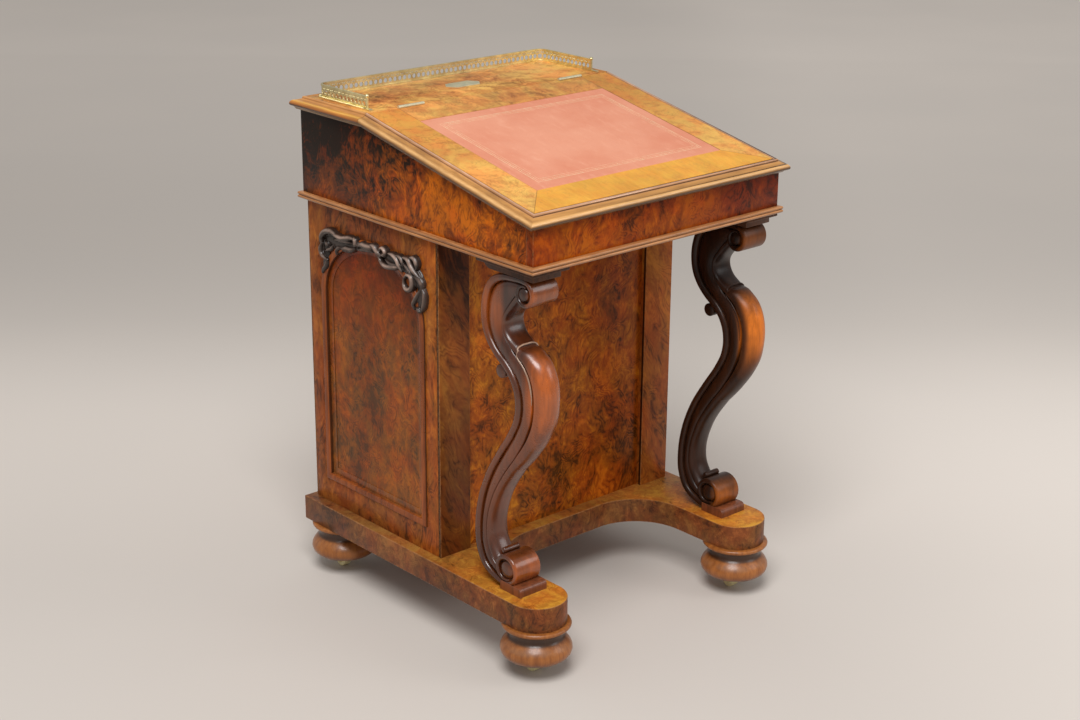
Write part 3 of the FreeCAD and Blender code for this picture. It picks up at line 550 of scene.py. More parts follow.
plinthBrown = dict(dark=(0.07, 0.024, 0.009), mid=(0.17, 0.054, 0.015), light=(0.31, 0.112, 0.03),
                   scale=1.2, drawn=0.8, clouds=0.8, curls=0.35, eyes=0.25)
plinthGold = dict(dark=(0.16, 0.055, 0.008), mid=(0.4, 0.14, 0.018), light=(0.58, 0.25, 0.03),
                  drawn=1.0, clouds=0.7, curls=0.4, eyes=0.3, tone=0.15)
lidBurr = dict(dark=(0.36, 0.15, 0.035), mid=(0.64, 0.31, 0.07), light=(0.88, 0.47, 0.105), drawn=1.0,
               eyes=0.3, curls=0.3, clouds=0.7)
lidSides = dict(lidBurr, scale=1.2, tone=0.34, clouds=0.4, eyes=0.1)
lidFront = dict(lidBurr, light=(0.94, 0.47, 0.06), scale=1.3, tone=0.46, clouds=0.3, eyes=0.1)
lidFinish = dict(roughness=0.3, rubbed=(0.75, 0.5, 0.25), wear=0.3, specular=0.16)


def plinthMaterial():
    # Brown burr on the edges, faded golden on the top face; painted shade darkens the top towards the back.
    material = newMaterial("plinthVeneer")
    coords = turned(shift=(0.2, 0.1, 0.4))
    brown = burr(plinthBrown, coords)
    # Painted shade: the golden top is darker and greyer towards the back.
    faded = graded(burr(plinthGold, coords)["Color"],
                   leg((0.0, -0.22, 0.0), (0.0, 3.2, 0.0), unchanged, (0.5, 0.5, 1.1)))
    colour = mix(soften(facingUp(), 0.6, 0.9), brown["Color"], faded)
    return polished(material, coords, colour, brown["Relief"], worn)


def lidMaterial():
    # Cross-banded borders of faded walnut round the leather, mitred at the two front corners.
    material = newMaterial("lidVeneer")
    source = ownPlace()
    leatherLow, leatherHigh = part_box("lid_leather")
    boardLow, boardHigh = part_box("lid_board")
    past = abs(axisOf(source, "X")) - leatherHigh.x
    sideShare = past / (boardHigh.x - leatherHigh.x)
    frontShare = maths("SUBTRACT", leatherLow.y, axisOf(source, "Y")) / (leatherLow.y - boardLow.y)
    isSide = maths("GREATER_THAN", past, 0.0)
    isFront = maths("GREATER_THAN", frontShare, maths("MAXIMUM", sideShare, 0.0))
    backPiece = burr(lidBurr, source)
    sideColour = graded(burr(lidSides, turned(shift=(0.7, 0.2, 0.0)))["Color"],
                        leg((0.0, -0.2, 0.0), (0.0, 3.4, 0.0), unchanged, (0.82, 0.68, 0.5)))
    frontBurr = burr(lidFront, turned(shift=(0.1, 0.6, 0.3)))["Color"]
    frontGrain = grain(turned(alongY), (0.68, 0.32, 0.035), (0.98, 0.5, 0.065), 0.5, 0.35, 0.8)["Color"]
    frontColour = mix(0.55, frontBurr, frontGrain)
    colour = mix(isFront, mix(isSide, backPiece["Color"], sideColour), frontColour)
    mitre = soften(abs(frontShare - sideShare), 0.008, 0.02, 1.0, 0.0) * isSide
    joint = soften(abs(past), 0.3 * mm, 0.8 * mm, 1.0, 0.0)
    seams = maths("MAXIMUM", mitre * maths("GREATER_THAN", frontShare, 0.0),
                  joint * maths("LESS_THAN", frontShare, 0.0))
    colour = tinted(mix(seams * 0.55, colour, (0.16, 0.06, 0.015)), (0.87, 0.84, 0.95))
    underneath = soften(facingUp(), -0.6, -0.3, 1.0, 0.0)
    colour = mix(underneath, colour, grain(source, **insideWood)["Color"])
    return polished(material, turned(shift=(0.31, 0.17, 0.4)), colour, backPiece["Relief"], lidFinish)


# Mouldings

rim = {
    "width": 22.5 * mm,
    "fall": 11.6,  # degrees the lid slopes
    "finish": {"roughness": 0.24, "coat": 0.25, "specular": 0.5, "rubbed": (0.8, 0.48, 0.2), "wear": 0.5},
    # Colour by share of the width in from the tip: painted shade at the tip, painted highlights along the
    # nose and on the top of the bead.
    "lidStops": [(0.0, (0.3, 0.13, 0.035)), (0.06, (0.78, 0.44, 0.17)), (0.12, (0.86, 0.5, 0.2)),
                 (0.22, (0.66, 0.34, 0.1)), (0.36, (0.5, 0.235, 0.06)), (0.6, (0.6, 0.29, 0.075)),
                 (0.7, (0.55, 0.27, 0.12)), (0.8, (0.72, 0.44, 0.3)), (0.9, (0.68, 0.4, 0.25)),
                 (0.955, (0.2, 0.075, 0.02)), (1.0, (0.12, 0.045, 0.012))],
    "topStops": [(0.0, (0.4, 0.13, 0.02)), (0.08, (0.7, 0.27, 0.035)), (0.2, (0.98, 0.54, 0.09)),
                 (0.32, (0.84, 0.4, 0.07)), (0.5, (0.62, 0.26, 0.05)), (0.7, (0.68, 0.3, 0.08)),
                 (0.84, (0.74, 0.37, 0.13)), (0.92, (0.6, 0.26, 0.07)), (0.97, (0.36, 0.15, 0.04))],
}
lidFall = math.radians(rim["fall"])
reed = {
    "finish": {"roughness": 0.24, "coat": 0.3, "specular": 0.5, "grime": 0.45},
    "dark": (0.28, 0.1, 0.03),
    "light": (0.57, 0.255, 0.09),
}
bar = {
    "finish": {"roughness": 0.22, "specular": 0.3, "wear": 0.0},
    "inner": -261.5 * mm,  # where the bar's face gives way to the step inside it
    "outer": -258.5 * mm,
}


def rimMaterial(name, node, outward, stops):
    # Moulded edge, coloured by how far a point lies in from the tip: nose, hollow, bead, quirk. The nose
    # and the bead carry painted highlights, and faces turned down get painted shade.
    material = newMaterial(name)
    source = ownPlace()
    corners = [v.co for v in frame["nodes"][node].data.vertices]
    sideTip = max(abs(co.x) for co in corners)
    endTip = max(co.dot(Vector(outward)) for co in corners)
    sideIn = maths("SUBTRACT", sideTip, abs(axisOf(source, "X")))
    endIn = maths("SUBTRACT", endTip, vectors("DOT_PRODUCT", source, outward))
    tint = rampColour(maths("MINIMUM", sideIn, endIn) / rim["width"], stops)
    figures = [grain(turned(turn), (0.6, 0.55, 0.5), unchanged, 0.7, 0.35) for turn in (alongX, alongY)]
    shade = mix(maths("LESS_THAN", sideIn, endIn), figures[0]["Color"], figures[1]["Color"])
    # Painted shade: faces turned down are darker.
    colour = scaled(tinted(tint, shade), soften(facingUp(), -0.25, 0.3, 0.3, 1.0))
    return polished(material, source, colour, figures[0]["Relief"], rim["finish"])


def reedMaterial(name, turn):
    material = newMaterial(name)
    coords = turned(turn)
    made = grain(coords, reed["dark"], reed["light"], 0.7, 0.35)
    # Painted shade: faces turned down are darker.
    colour = scaled(made["Color"], soften(facingUp(), -0.6, 0.3, 0.7, 1.0))
    return polished(material, coords, colour, made["Relief"], reed["finish"])


def doorMouldingMaterial():
    # A raised bar round the arch; the low step inside it carries on the panel's figure. The bar's steep
    # walls get painted shade.
    material = newMaterial("doorMoulding")
    coords, leaf, relief = burrColour(doorBurr)
    face = grain(turned(alongZ), (0.15, 0.032, 0.006), (0.36, 0.088, 0.014), 0.7, 0.3)["Color"]
    colour = mix(soften(axisOf(ownPlace(), "X"), bar["inner"], bar["outer"]), face, leaf)
    # Painted shade on the bar's steep walls, except where they face up.
    shadedWalls = soften(abs(axisOf(ownNormal(), "X")), 0.35, 0.85, 1.0, 0.0)
    colour = mix(shadedWalls * soften(facingUp(), 0.2, 0.5, 0.85, 0.0), colour, (0.035, 0.012, 0.004))
    return polished(material, coords, colour, relief, bar["finish"])


# Carved and turned walnut

carvedFinish = dict(roughness=0.19, coat=0.2, specular=0.7, rubbed=(0.3, 0.12, 0.05), wear=0.1,
                    bump=0.04)
crestFinish = dict(roughness=0.27, coat=0.15, specular=0.4, rubbed=(0.36, 0.24, 0.19), wear=0.3,
                   bump=0.06)
footFinish = dict(roughness=0.24, coat=0.15, specular=0.45, bump=0.1)


def carvedMaterial(name, dark, light, litColour, **finish):
    # Dark polished carving; warmer, paler patches of painted light where a piece stores them as "proud"
    # values.
    material = newMaterial(name)
    coords = turned(alongZ)
    made = grain(coords, dark, light, 1.0, 0.3, 0.7)
    streaks = grain(coords, tuple(0.55 * c for c in litColour), litColour, 1.2, 0.3)
    # Painted light: the "proud" values turn the grain to the lit colour in patches.
    litPatch = attribute("proud") * soften(noise(coords, 11.0, 3.0, 0.6, 0.5), 0.22, 0.48, 0.35, 1.0)
    colour = mix(litPatch, made["Color"], streaks["Color"])
    return polished(material, coords, colour, made["Relief"], {**carvedFinish, **finish})


def crestMaterial():
    # Nearly black low down; a pinkish brown along the tops of the strokes, on faces turned up, is dust and
    # painted highlight.
    material = newMaterial("appliedCarving")
    coords = turned(alongZ)
    made = grain(coords, (0.012, 0.007, 0.005), (0.04, 0.022, 0.016), 1.0, 0.3, 0.7)
    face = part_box("false_door_frame")[0].x
    high = soften(axisOf(ownPlace(), "X"), face - 12.0 * mm, face - 6.5 * mm, 1.0, 0.0)
    lit = soften(facingUp(), -0.35, 0.55, 0.15, 1.0)
    # Dust and painted highlight on the proud, upward-facing tops of the strokes.
    paleOnTop = high * lit * soften(noise(coords, 45.0, 3.0, 0.6), 0.3, 0.6, 0.45, 1.0)
    colour = mix(paleOnTop, made["Color"], (0.44, 0.3, 0.235))
    return polished(material, coords, colour, made["Relief"], crestFinish)


def footMaterial():
    # Turned walnut: painted shade in the scotia and low on the bun, and dust lying on the upper side of the
    # bun.
    material = newMaterial("footWalnut")
    coords = turned(alongZ)
    made = grain(coords, (0.2, 0.058, 0.012), (0.4, 0.14, 0.03), 0.3, 0.2, 0.8)
    height = axisOf(ownPlace(), "Z")
    # Painted shade: darker towards the bottom of the bun.
    colour = graded(made["Color"], leg((0.0, 0.0, 0.028), (0.0, 0.0, 60.0), (0.45, 0.4, 0.4), unchanged))
    # Painted shade in the scotia under the bead.
    scotia = soften(height, 62.5 * mm, 66.5 * mm) * soften(height, 81.5 * mm, 83.5 * mm, 1.0, 0.0)
    colour = mix(scotia * 0.88, colour, (0.045, 0.022, 0.013))
    paleOnTop = soften(facingUp(), 0.25, 0.8) * soften(noise(coords, 26.0, 4.0, 0.65), 0.36, 0.6)
    colour = mix(paleOnTop * soften(height, 50.0 * mm, 66.0 * mm, 0.6, 0.0), colour, (0.24, 0.17, 0.12))
    return polished(material, coords, colour, made["Relief"], footFinish)


# Brass, leather and gilt

def brassMaterial(name, bright, dull, roughness, metal=1.0):
    material = newMaterial(name)
    coords = turned()
    cloud = noise(coords, 60.0, 5.0, 0.65)
    aged = useGroup(agedSurface, {"Vector": coords, "Color": mix(soften(cloud, 0.35, 0.68), bright, dull),
                                  "Rubbed": (0.95, 0.84, 0.55), "Wear": 0.5, "Grime": 0.75,
                                  "Roughness": roughness})
    spots = soften(noise(coords, 380.0, 3.0, 0.6), 0.62, 0.75, 0.0, 0.4)
    return surfaced(material, {"Base Color": mix(spots, aged["Color"], (0.16, 0.12, 0.06)),
                               "Roughness": aged["Roughness"], "Metallic": metal,
                               "Normal": bump(cloud, 0.12, 0.2 * mm)})


def leatherMaterial():
    material = newMaterial("coralHide")
    coords = turned()
    pebble = wire("TexVoronoi", {"Vector": warped(coords, 220.0, 0.002), "Scale": 620.0, "Randomness": 1.0},
                  "Distance")
    scuff = noise(tinted(coords, (1.0, 0.3, 1.0)), 70.0, 5.0, 0.7)
    colour = mix(soften(noise(coords, 6.0, 4.0, 0.6), 0.3, 0.7), (0.675, 0.24, 0.14), (0.75, 0.32, 0.2))
    colour = mix(soften(scuff, 0.5, 0.75, 0.0, 0.45), colour, (0.81, 0.41, 0.275))
    colour = mix(soften(pebble, 0.0, 0.5, 0.16, 0.0), colour, (0.3, 0.07, 0.04))
    return surfaced(material, {"Base Color": mix(attribute("hollow") * 0.7, colour, (0.2, 0.05, 0.03)),
                               "Roughness": soften(scuff, 0.3, 0.7, 0.42, 0.58), "Specular IOR Level": 0.25,
                               "Normal": bump(pebble * 0.6 + scuff, 0.35, 0.3 * mm)})


def giltMaterial():
    material = newMaterial("rubbedGilt")
    rubbed = noise(turned(), 90.0, 4.0, 0.7)
    colour = mix(soften(rubbed, 0.36, 0.62), (0.95, 0.76, 0.46), (0.82, 0.42, 0.26))
    return surfaced(material, {"Base Color": colour, "Roughness": soften(rubbed, 0.36, 0.62, 0.3, 0.55),
                               "Metallic": soften(rubbed, 0.36, 0.55, 0.35, 0.0)})


plinthVeneer = plinthMaterial()
lidBoardVeneer = lidMaterial()
downSlope = (0.0, -math.cos(lidFall), -math.sin(lidFall))
lidRim = rimMaterial("lidRim", "lid_moulding", downSlope, rim["lidStops"])
topRim = rimMaterial("topRim", "flat_top_moulding", (0.0, 1.0, 0.0), rim["topStops"])
reedAcross = reedMaterial("reedAcross", alongX)
reedAlong = reedMaterial("reedAlong", alongY)
doorMoulding = doorMouldingMaterial()
carvedWalnut = carvedMaterial("carvedWalnut", (0.024, 0.006, 0.002), (0.075, 0.016, 0.004),
                              (0.56, 0.12, 0.01))
# A darker copy of the carving's material for the right support: painted shade.
shadedWalnut = carvedMaterial("shadedWalnut", (0.012, 0.005, 0.003), (0.034, 0.011, 0.005),
                              (0.66, 0.17, 0.016), specular=0.28, roughness=0.24, coat=0.0)
# Pale walnut for the knee bead on the left support: a painted highlight along it.
paleWalnut = carvedMaterial("paleWalnut", (0.24, 0.13, 0.08), (0.42, 0.26, 0.17), (0.5, 0.3, 0.2),
                            specular=0.8, coat=0.4)
blockWalnut = carvedMaterial("blockWalnut", (0.1, 0.028, 0.01), (0.27, 0.075, 0.026), (0.4, 0.11, 0.035),
                             specular=0.5, roughness=0.3)
capWalnut = carvedMaterial("capWalnut", (0.03, 0.011, 0.005), (0.09, 0.032, 0.014), (0.2, 0.07, 0.03),
                           specular=0.2, coat=0.0)
appliedCarving = crestMaterial()
knobFinish = dict(plainFinish, roughness=0.22, coat=0.3, specular=0.4, rubbed=(0.5, 0.3, 0.16))
turnedWalnut = carvedMaterial("turnedWalnut", (0.10, 0.036, 0.013), (0.32, 0.13, 0.045), (0.42, 0.18, 0.06),
                              **knobFinish)
footWalnut = footMaterial()
agedBrass = brassMaterial("agedBrass", (0.94, 0.84, 0.48), (0.70, 0.60, 0.32), 0.28)
# A paler, less metallic copy of the brass for the castor wheels: a painted glint, so they show bright in
# the shade under the feet.
rollerBrass = brassMaterial("rollerBrass", (0.95, 0.86, 0.5), (0.85, 0.75, 0.42), 0.45, 0.45)
paleBrass = brassMaterial("paleBrass", (0.78, 0.72, 0.5), (0.62, 0.6, 0.42), 0.38, 0.75)
coralHide = leatherMaterial()
rubbedGilt = giltMaterial()
satinAcross = grainMaterial("satinAcross", insideWood, roughness=0.36, coat=0.1, rubbed=(0.7, 0.5, 0.28))
drawerWood = dict(dark=(0.3, 0.15, 0.06), light=(0.5, 0.29, 0.14))
liningWood = grainMaterial("liningWood", drawerWood, roughness=0.5)
frameWood = dict(dark=(0.16, 0.07, 0.03), light=(0.34, 0.17, 0.08))
carcassWood = grainMaterial("carcassWood", frameWood, roughness=0.5)
print("stage: materials")


# Mesh helpers

def flow(rows, count, measured=2):
    # A smooth line through rows of numbers, evenly divided along its first columns.
    rows = np.array(rows, float)
    knots = runLength(rows[:, :measured])
    slopes = np.gradient(rows, knots, axis=0)
    wanted = np.linspace(0.0, knots[-1], count)
    i = np.clip(np.searchsorted(knots, wanted, side="right") - 1, 0, len(knots) - 2)
    span = (knots[i + 1] - knots[i])[:, None]
    u = (wanted - knots[i])[:, None] / span
    start = (2 * u**3 - 3 * u**2 + 1) * rows[i] + (u**3 - 2 * u**2 + u) * span * slopes[i]
    return start + (3 * u**2 - 2 * u**3) * rows[i + 1] + (u**3 - u**2) * span * slopes[i + 1]


def runLength(points):
    return np.concatenate([[0.0], np.cumsum(np.linalg.norm(np.diff(points, axis=0), axis=1))])


def unit(rows):
    return rows / np.linalg.norm(rows, axis=1)[:, None]


def fullTurn(count):
    return np.linspace(0.0, 2 * math.pi, count, endpoint=False)


def clipped(value):
    return min(max(value, 0.0), 1.0)


def smoothStep(value, low, high):
    u = clipped((value - low) / (high - low))
    return u * u * (3.0 - 2.0 * u)


def near(value, middle, spread):
    # 1 at the middle, falling away on both sides.
    return math.exp(-((value - middle) / spread) ** 2)


def fromArrays(name, verts, faces, material):
    mesh = bpy.data.meshes.new(name)
    mesh.from_pydata([tuple(v) for v in verts], [], faces)
    mesh.materials.append(material)
    mesh.polygons.foreach_set("use_smooth", [True] * len(mesh.polygons))
    return newObject(name, mesh)


def tubeFaces(rings, sides, capped=True):
    # Quads between closed rings of points, with a cap at each end.
    faces = []
    for low in range(0, (rings - 1) * sides, sides):
        for s in range(sides):
            t = (s + 1) % sides
            faces.append((low + s, low + t, low + sides + t, low + sides + s))
    if capped:
        faces.append(tuple(reversed(range(sides))))
        faces.append(tuple(range((rings - 1) * sides, rings * sides)))
    return faces


def cleaned(obj):
    bm = bmesh.new()
    bm.from_mesh(obj.data)
    bmesh.ops.remove_doubles(bm, verts=bm.verts, dist=0.001 * mm)
    bmesh.ops.recalc_face_normals(bm, faces=bm.faces)
    bm.to_mesh(obj.data)
    bm.free()
    return obj


def joined(name, pieces):
    bm = bmesh.new()
    used = []
    for piece in pieces:
        own = list(piece.data.materials)
        before = len(bm.faces)
        bm.from_mesh(piece.data)
        bm.faces.ensure_lookup_table()
        for face in bm.faces[before:]:
            material = own[face.material_index]
            if material not in used:
                used.append(material)
            face.material_index = used.index(material)
    mesh = bpy.data.meshes.new(name)
    bm.to_mesh(mesh)
    bm.free()
    for material in used:
        mesh.materials.append(material)
    for piece in pieces:
        bpy.data.objects.remove(piece)
    return newObject(name, mesh)


def fixedMesh(obj):
    # Applies every modifier and leaves a plain mesh.
    graph = bpy.context.evaluated_depsgraph_get()
    mesh = bpy.data.meshes.new_from_object(obj.evaluated_get(graph))
    obj.modifiers.clear()
    obj.data = mesh


def shadeByAngle(mesh, degrees):
    mesh.polygons.foreach_set("use_smooth", [True] * len(mesh.polygons))
    mesh.set_sharp_from_angle(angle=math.radians(degrees))


def storeValues(mesh, label, values):
    stored = mesh.attributes.new(label, "FLOAT", "POINT")
    stored.data.foreach_set("value", np.array(values, dtype=np.float32))


def readMesh(items, label, width, kind=float):
    values = np.zeros(len(items) * width, dtype=kind)
    items.foreach_get(label, values)
    return values.reshape(-1, width)


def markHollows(obj, reach, passes):
    # Stores how far each point lies below (hollow) or above (wear) its smoothed surroundings.
    mesh = obj.data
    points = readMesh(mesh.vertices, "co", 3)
    normals = readMesh(mesh.vertices, "normal", 3)
    edges = readMesh(mesh.edges, "vertices", 2, np.int64)
    degree = np.bincount(edges.ravel(), minlength=len(points)).reshape(-1, 1).clip(1)
    smooth = points.copy()
    for _ in range(passes):
        total = np.zeros_like(smooth)
        np.add.at(total, edges[:, 0], smooth[edges[:, 1]])
        np.add.at(total, edges[:, 1], smooth[edges[:, 0]])
        smooth = total / degree
    depth = ((smooth - points) * normals).sum(1) / reach
    storeValues(mesh, "hollow", depth.clip(0.0, 1.0))
    storeValues(mesh, "wear", (-depth - 0.25).clip(0.0, 1.0))


def place(obj, node):
    # Sits a piece on the body of the node it stands for.
    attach(obj, bodyOf[node])
    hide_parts(node)
    return obj


def eased(node, material, ease, angle=32.0, segments=2, only=None):
    # A copy of a CAD node with its sharp arrises eased as sandpaper and polish leave them.
    bm = bmesh.new()
    bm.from_mesh(frame["nodes"][node].data)
    bmesh.ops.remove_doubles(bm, verts=bm.verts, dist=0.002 * mm)
    bmesh.ops.dissolve_limit(bm, angle_limit=math.radians(0.4), verts=bm.verts, edges=bm.edges)
    mark = bm.loops.layers.float.new("wear")
    if ease:
        folded = [e for e in bm.edges if len(e.link_faces) == 2]
        sharp = [e for e in folded if e.calc_face_angle(0.0) > math.radians(angle)]
        if only:
            sharp = [e for e in sharp if all(only(v.co) for v in e.verts)]
        made = bmesh.ops.bevel(bm, geom=sharp, offset=ease, segments=segments, profile=0.55, affect="EDGES",
                               clamp_overlap=True)
        for face in made["faces"]:
            for loop in face.loops:
                loop[mark] = 1.0
    mesh = bpy.data.meshes.new(node + "_eased")
    bm.to_mesh(mesh)
    bm.free()
    mesh.materials.append(material)
    shadeByAngle(mesh, angle)
    return place(newObject(node + "_eased", mesh), node)


def splitByRun(obj, second):
    # Gives the faces of a moulding's side runs the second material.
    obj.data.materials.append(second)
    for face in obj.data.polygons:
        if abs(face.normal.x) > max(abs(face.normal.y), 0.05):
            face.material_index = 1


# Geometry Nodes helpers

def gathered(*parts):
    join = addNode("GeometryNodeJoinGeometry")
    for part in parts:
        connect(part, join.inputs[0])
    return Field(join.outputs[0])


def moved(part, place=(0.0, 0.0, 0.0), turn=(0.0, 0.0, 0.0), size=(1.0, 1.0, 1.0)):
    links = {"Geometry": part, "Translation": place, "Rotation": turn, "Scale": size}
    return wire("GeometryNodeTransform", links)


def realized(part):
    return wire("GeometryNodeRealizeInstances", {"Geometry": part})


def rowOf(piece, count, step, first):
    # Copies of a piece in a straight row along X.
    links = {"Count": count, "Start Location": vectorOf(first), "Offset": vectorOf(step)}
    points = wire("GeometryNodeMeshLine", links, mode="OFFSET")
    return realized(wire("GeometryNodeInstanceOnPoints", {"Points": points, "Instance": piece}))


def bentAlong(part, curve):
    # Bends a straight strip (X along, Y outwards, Z up) round a level path.
    here = allOf(addNode("SeparateXYZ", {0: wire("GeometryNodeInputPosition")}))
    links = {"Curves": curve, "Length": here["X"]}
    sample = allOf(addNode("GeometryNodeSampleCurve", links, mode="LENGTH"))
    outward = vectors("CROSS_PRODUCT", sample["Tangent"], (0.0, 0.0, 1.0))
    outward = wire("VectorMath", {0: outward}, operation="NORMALIZE")
    level = vectors("ADD", sample["Position"], scaled(outward, here["Y"]))
    raised = vectors("ADD", level, vectorOf(z=here["Z"]))
    return wire("GeometryNodeSetPosition", {"Geometry": part, "Position": raised})


def wholeSteps(length, pitch):
    # How many pitches fit the length, and the even step that fills it.
    count = maths("ROUND", length / pitch)
    return count, length / count


def finishedTree(part, given, result):
    links = {"Geometry": realized(part), "Material": given["Material"]}
    connect(wire("GeometryNodeSetMaterial", links), result["Geometry"])


def grown(name, points, closed, tree, values):
    # Runs a tree on a line of points and keeps the result as a plain mesh.
    mesh = bpy.data.meshes.new(name)
    edges = [(i, i + 1) for i in range(len(points) - 1)]
    if closed:
        edges.append((len(points) - 1, 0))
    mesh.from_pydata(points, edges, [])
    obj = newObject(name, mesh)
    modifier = obj.modifiers.new(name, "NODES")
    modifier.node_group = tree
    for item in tree.interface.items_tree:
        if item.in_out == "INPUT" and item.name in values:
            modifier[item.identifier] = values[item.name]
    fixedMesh(obj)
    shadeByAngle(obj.data, 40)
    return obj


# Brass gallery

gallery = {
    "Thickness": 1.5 * mm,
    "Pitch": 10.2 * mm,
    "Hole Radius": 3.9 * mm,
    "Hole Drop": 1.7 * mm,
    "Pin Hole Radius": 1.3 * mm,
    "Pin Hole Place": (3.4 * mm, 5.2 * mm, 0.0),
    "Boss Radius": 1.1 * mm,
    "Rib Pitch": 3.4 * mm,
    "Rib Size": (1.15 * mm, 2.0 * mm, 1.15 * mm),
    "Rib From Line": 3.9 * mm,
    "Material": agedBrass,
}
corner = {"radius": 14.0 * mm, "steps": 10}


def ringOf(radius, resolution):
    links = {"Resolution": resolution, "Radius": radius}
    return wire("GeometryNodeCurvePrimitiveCircle", links, mode="RADIUS")


def galleryTree():
    # A pierced strip of bays, with a boss between bays, and a gadrooned foot outside it.
    tree, given, result = newTree("Geometry", "piercedGallery", ("Geometry", "Height", "Base", *gallery),
                                  ("Geometry",))
    weld = {"Distance": 0.02 * mm}
    path = wire("GeometryNodeMeshToCurve", {"Mesh": given["Geometry"]})
    length = wire("GeometryNodeCurveLength", {"Curve": path})
    count, step = wholeSteps(length, given["Pitch"])
    middle = given["Height"] * 0.5 + given["Base"]
    bay = wire("GeometryNodeCurvePrimitiveQuadrilateral", {"Width": step, "Height": given["Height"]},
               mode="RECTANGLE")
    bay = wire("GeometryNodeSubdivideCurve", {"Curve": bay, "Cuts": 3})
    hole = moved(ringOf(given["Hole Radius"], 14), vectorOf(y=given["Hole Drop"] * -1.0))
    pin = ringOf(given["Pin Hole Radius"], 8)
    mirrored = tinted(given["Pin Hole Place"], (-1.0, 1.0, 1.0))
    pins = [moved(pin, spot) for spot in (given["Pin Hole Place"], mirrored)]
    sheet = wire("GeometryNodeFillCurve", {"Curve": gathered(bay, hole, *pins)}, mode="TRIANGLES")
    row = wire("GeometryNodeMergeByDistance", {"Geometry": rowOf(sheet, count, step, step * 0.5), **weld})
    thick = wire("GeometryNodeExtrudeMesh", {"Mesh": row, "Offset Scale": given["Thickness"],
                                             "Individual": False}, mode="FACES")
    back = wire("GeometryNodeFlipFaces", {"Mesh": row})
    strip = wire("GeometryNodeMergeByDistance", {"Geometry": gathered(thick, back), **weld})
    upright = moved(strip, vectorOf(0.0, given["Thickness"] * 0.5, middle), turn=(quarter, 0.0, 0.0))
    ball = {"Segments": 8, "Rings": 6}
    boss = wire("GeometryNodeMeshUVSphere", {**ball, "Radius": given["Boss Radius"]})
    bosses = moved(rowOf(boss, count - 1.0, step, step), vectorOf(z=middle))
    rib = moved(wire("GeometryNodeMeshUVSphere", {**ball, "Radius": 1.0}), size=given["Rib Size"])
    ribCount, ribStep = wholeSteps(length, given["Rib Pitch"])
    ribs = rowOf(rib, ribCount, ribStep, ribStep * 0.5)
    ribs = moved(ribs, vectorOf(0.0, given["Rib From Line"], given["Base"]))
    finishedTree(bentAlong(gathered(upright, bosses, ribs), path), given, result)
    return tree


def galleryPath():
    # Level line round three sides, from the right front end to the left one.
    low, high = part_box("gallery_fret")
    half = gallery["Thickness"] / 2
    side, back, radius = high.x - half, high.y - half, corner["radius"]
    points = [(side, low.y, 0.0)]
    for middle, first in ((side - radius, 0.0), (radius - side, quarter)):
        for i in range(corner["steps"] + 1):
            turn = first + quarter * i / corner["steps"]
            points.append((middle + radius * math.cos(turn), back - radius + radius * math.sin(turn), 0.0))
    points.append((-side, low.y, 0.0))
    return points


def addGallery():
    low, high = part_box("gallery_fret")
    values = {**gallery, "Height": high.z - low.z, "Base": low.z}
    place(grown("galleryFret", galleryPath(), False, galleryTree(), values), "gallery_fret")


addGallery()
print("stage: gallery")


# Leather and its gilt border

hide = {
    "thick": 1.0 * mm,
    "columns": 150,
    "rows": 106,
    "tuck": 1.8 * mm,
    "tuckDepth": 0.45 * mm,
    "unevenness": 0.012 * mm,
    "press": 0.1 * mm,
    "below": 0.05 * mm,
    "seed": 7,
    "fillets": ((22.5 * mm, 1.5 * mm), (31.5 * mm, 0.9 * mm)),  # distance in from the edge, width
    "beadLine": 26.6 * mm,
    "beadPitch": 3.6 * mm,
    "beadRadius": 0.95 * mm,
    "relief": 0.12 * mm,
}
hideLow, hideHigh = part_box("lid_leather")
hideRear = hideHigh.y - hide["thick"] * math.sin(lidFall)
hideHalf = hideHigh.x
hideLength = (hideRear - hideLow.y) / math.cos(lidFall)
# The lid's own frame: origin at the leather's back edge, -Y down the slope, Z out of the face.
lidFrame = Matrix.Translation((0, hideRear, hideHigh.z)) @ Matrix.Rotation(lidFall, 4, "X")


def leatherSheet():
    # Skiver laid in the recess: tucked at its edge, faintly uneven, pressed down along the tooled lines.
    waves = np.random.default_rng(hide["seed"]).uniform((20, 20, 0), (75, 75, 6.3), (14, 3))
    columns, rows = hide["columns"], hide["rows"]
    verts = []
    for j in range(rows + 1):
        for i in range(columns + 1):
            x = -hideHalf + 2 * hideHalf * i / columns
            y = -hideLength * j / rows
            inward = min(hideHalf - abs(x), -y, hideLength + y)
            edge = min(inward / hide["tuck"], 1.0)
            z = -hide["tuckDepth"] * (1.0 - edge) ** 2 - hide["below"]
            z += sum(math.sin(a * x + b * y + c) for a, b, c in waves) * hide["unevenness"] * edge
            z -= sum(hide["press"] * near(inward, line, 1.2 * width) for line, width in hide["fillets"])
            verts.append((x, y, z))
    pitch = columns + 1
    starts = [j * pitch + i for j in range(rows) for i in range(columns)]
    faces = [(a, a + pitch, a + pitch + 1, a + 1) for a in starts]
    border = list(range(pitch)) + [j * pitch + columns for j in range(1, rows + 1)]
    border += [rows * pitch + i for i in reversed(range(columns))]
    border += [j * pitch for j in reversed(range(1, rows))]
    base = len(verts)
    verts += [(*verts[index][:2], -0.9 * hide["thick"]) for index in border]
    for k, index in enumerate(border):
        following = (k + 1) % len(border)
        faces.append((index, border[following], base + following, base + k))
    faces.append(tuple(range(base, len(verts))))
    obj = cleaned(fromArrays("leatherSkiver", verts, faces, coralHide))
    obj.data.transform(lidFrame)
    shadeByAngle(obj.data, 40)
    place(obj, "lid_leather")


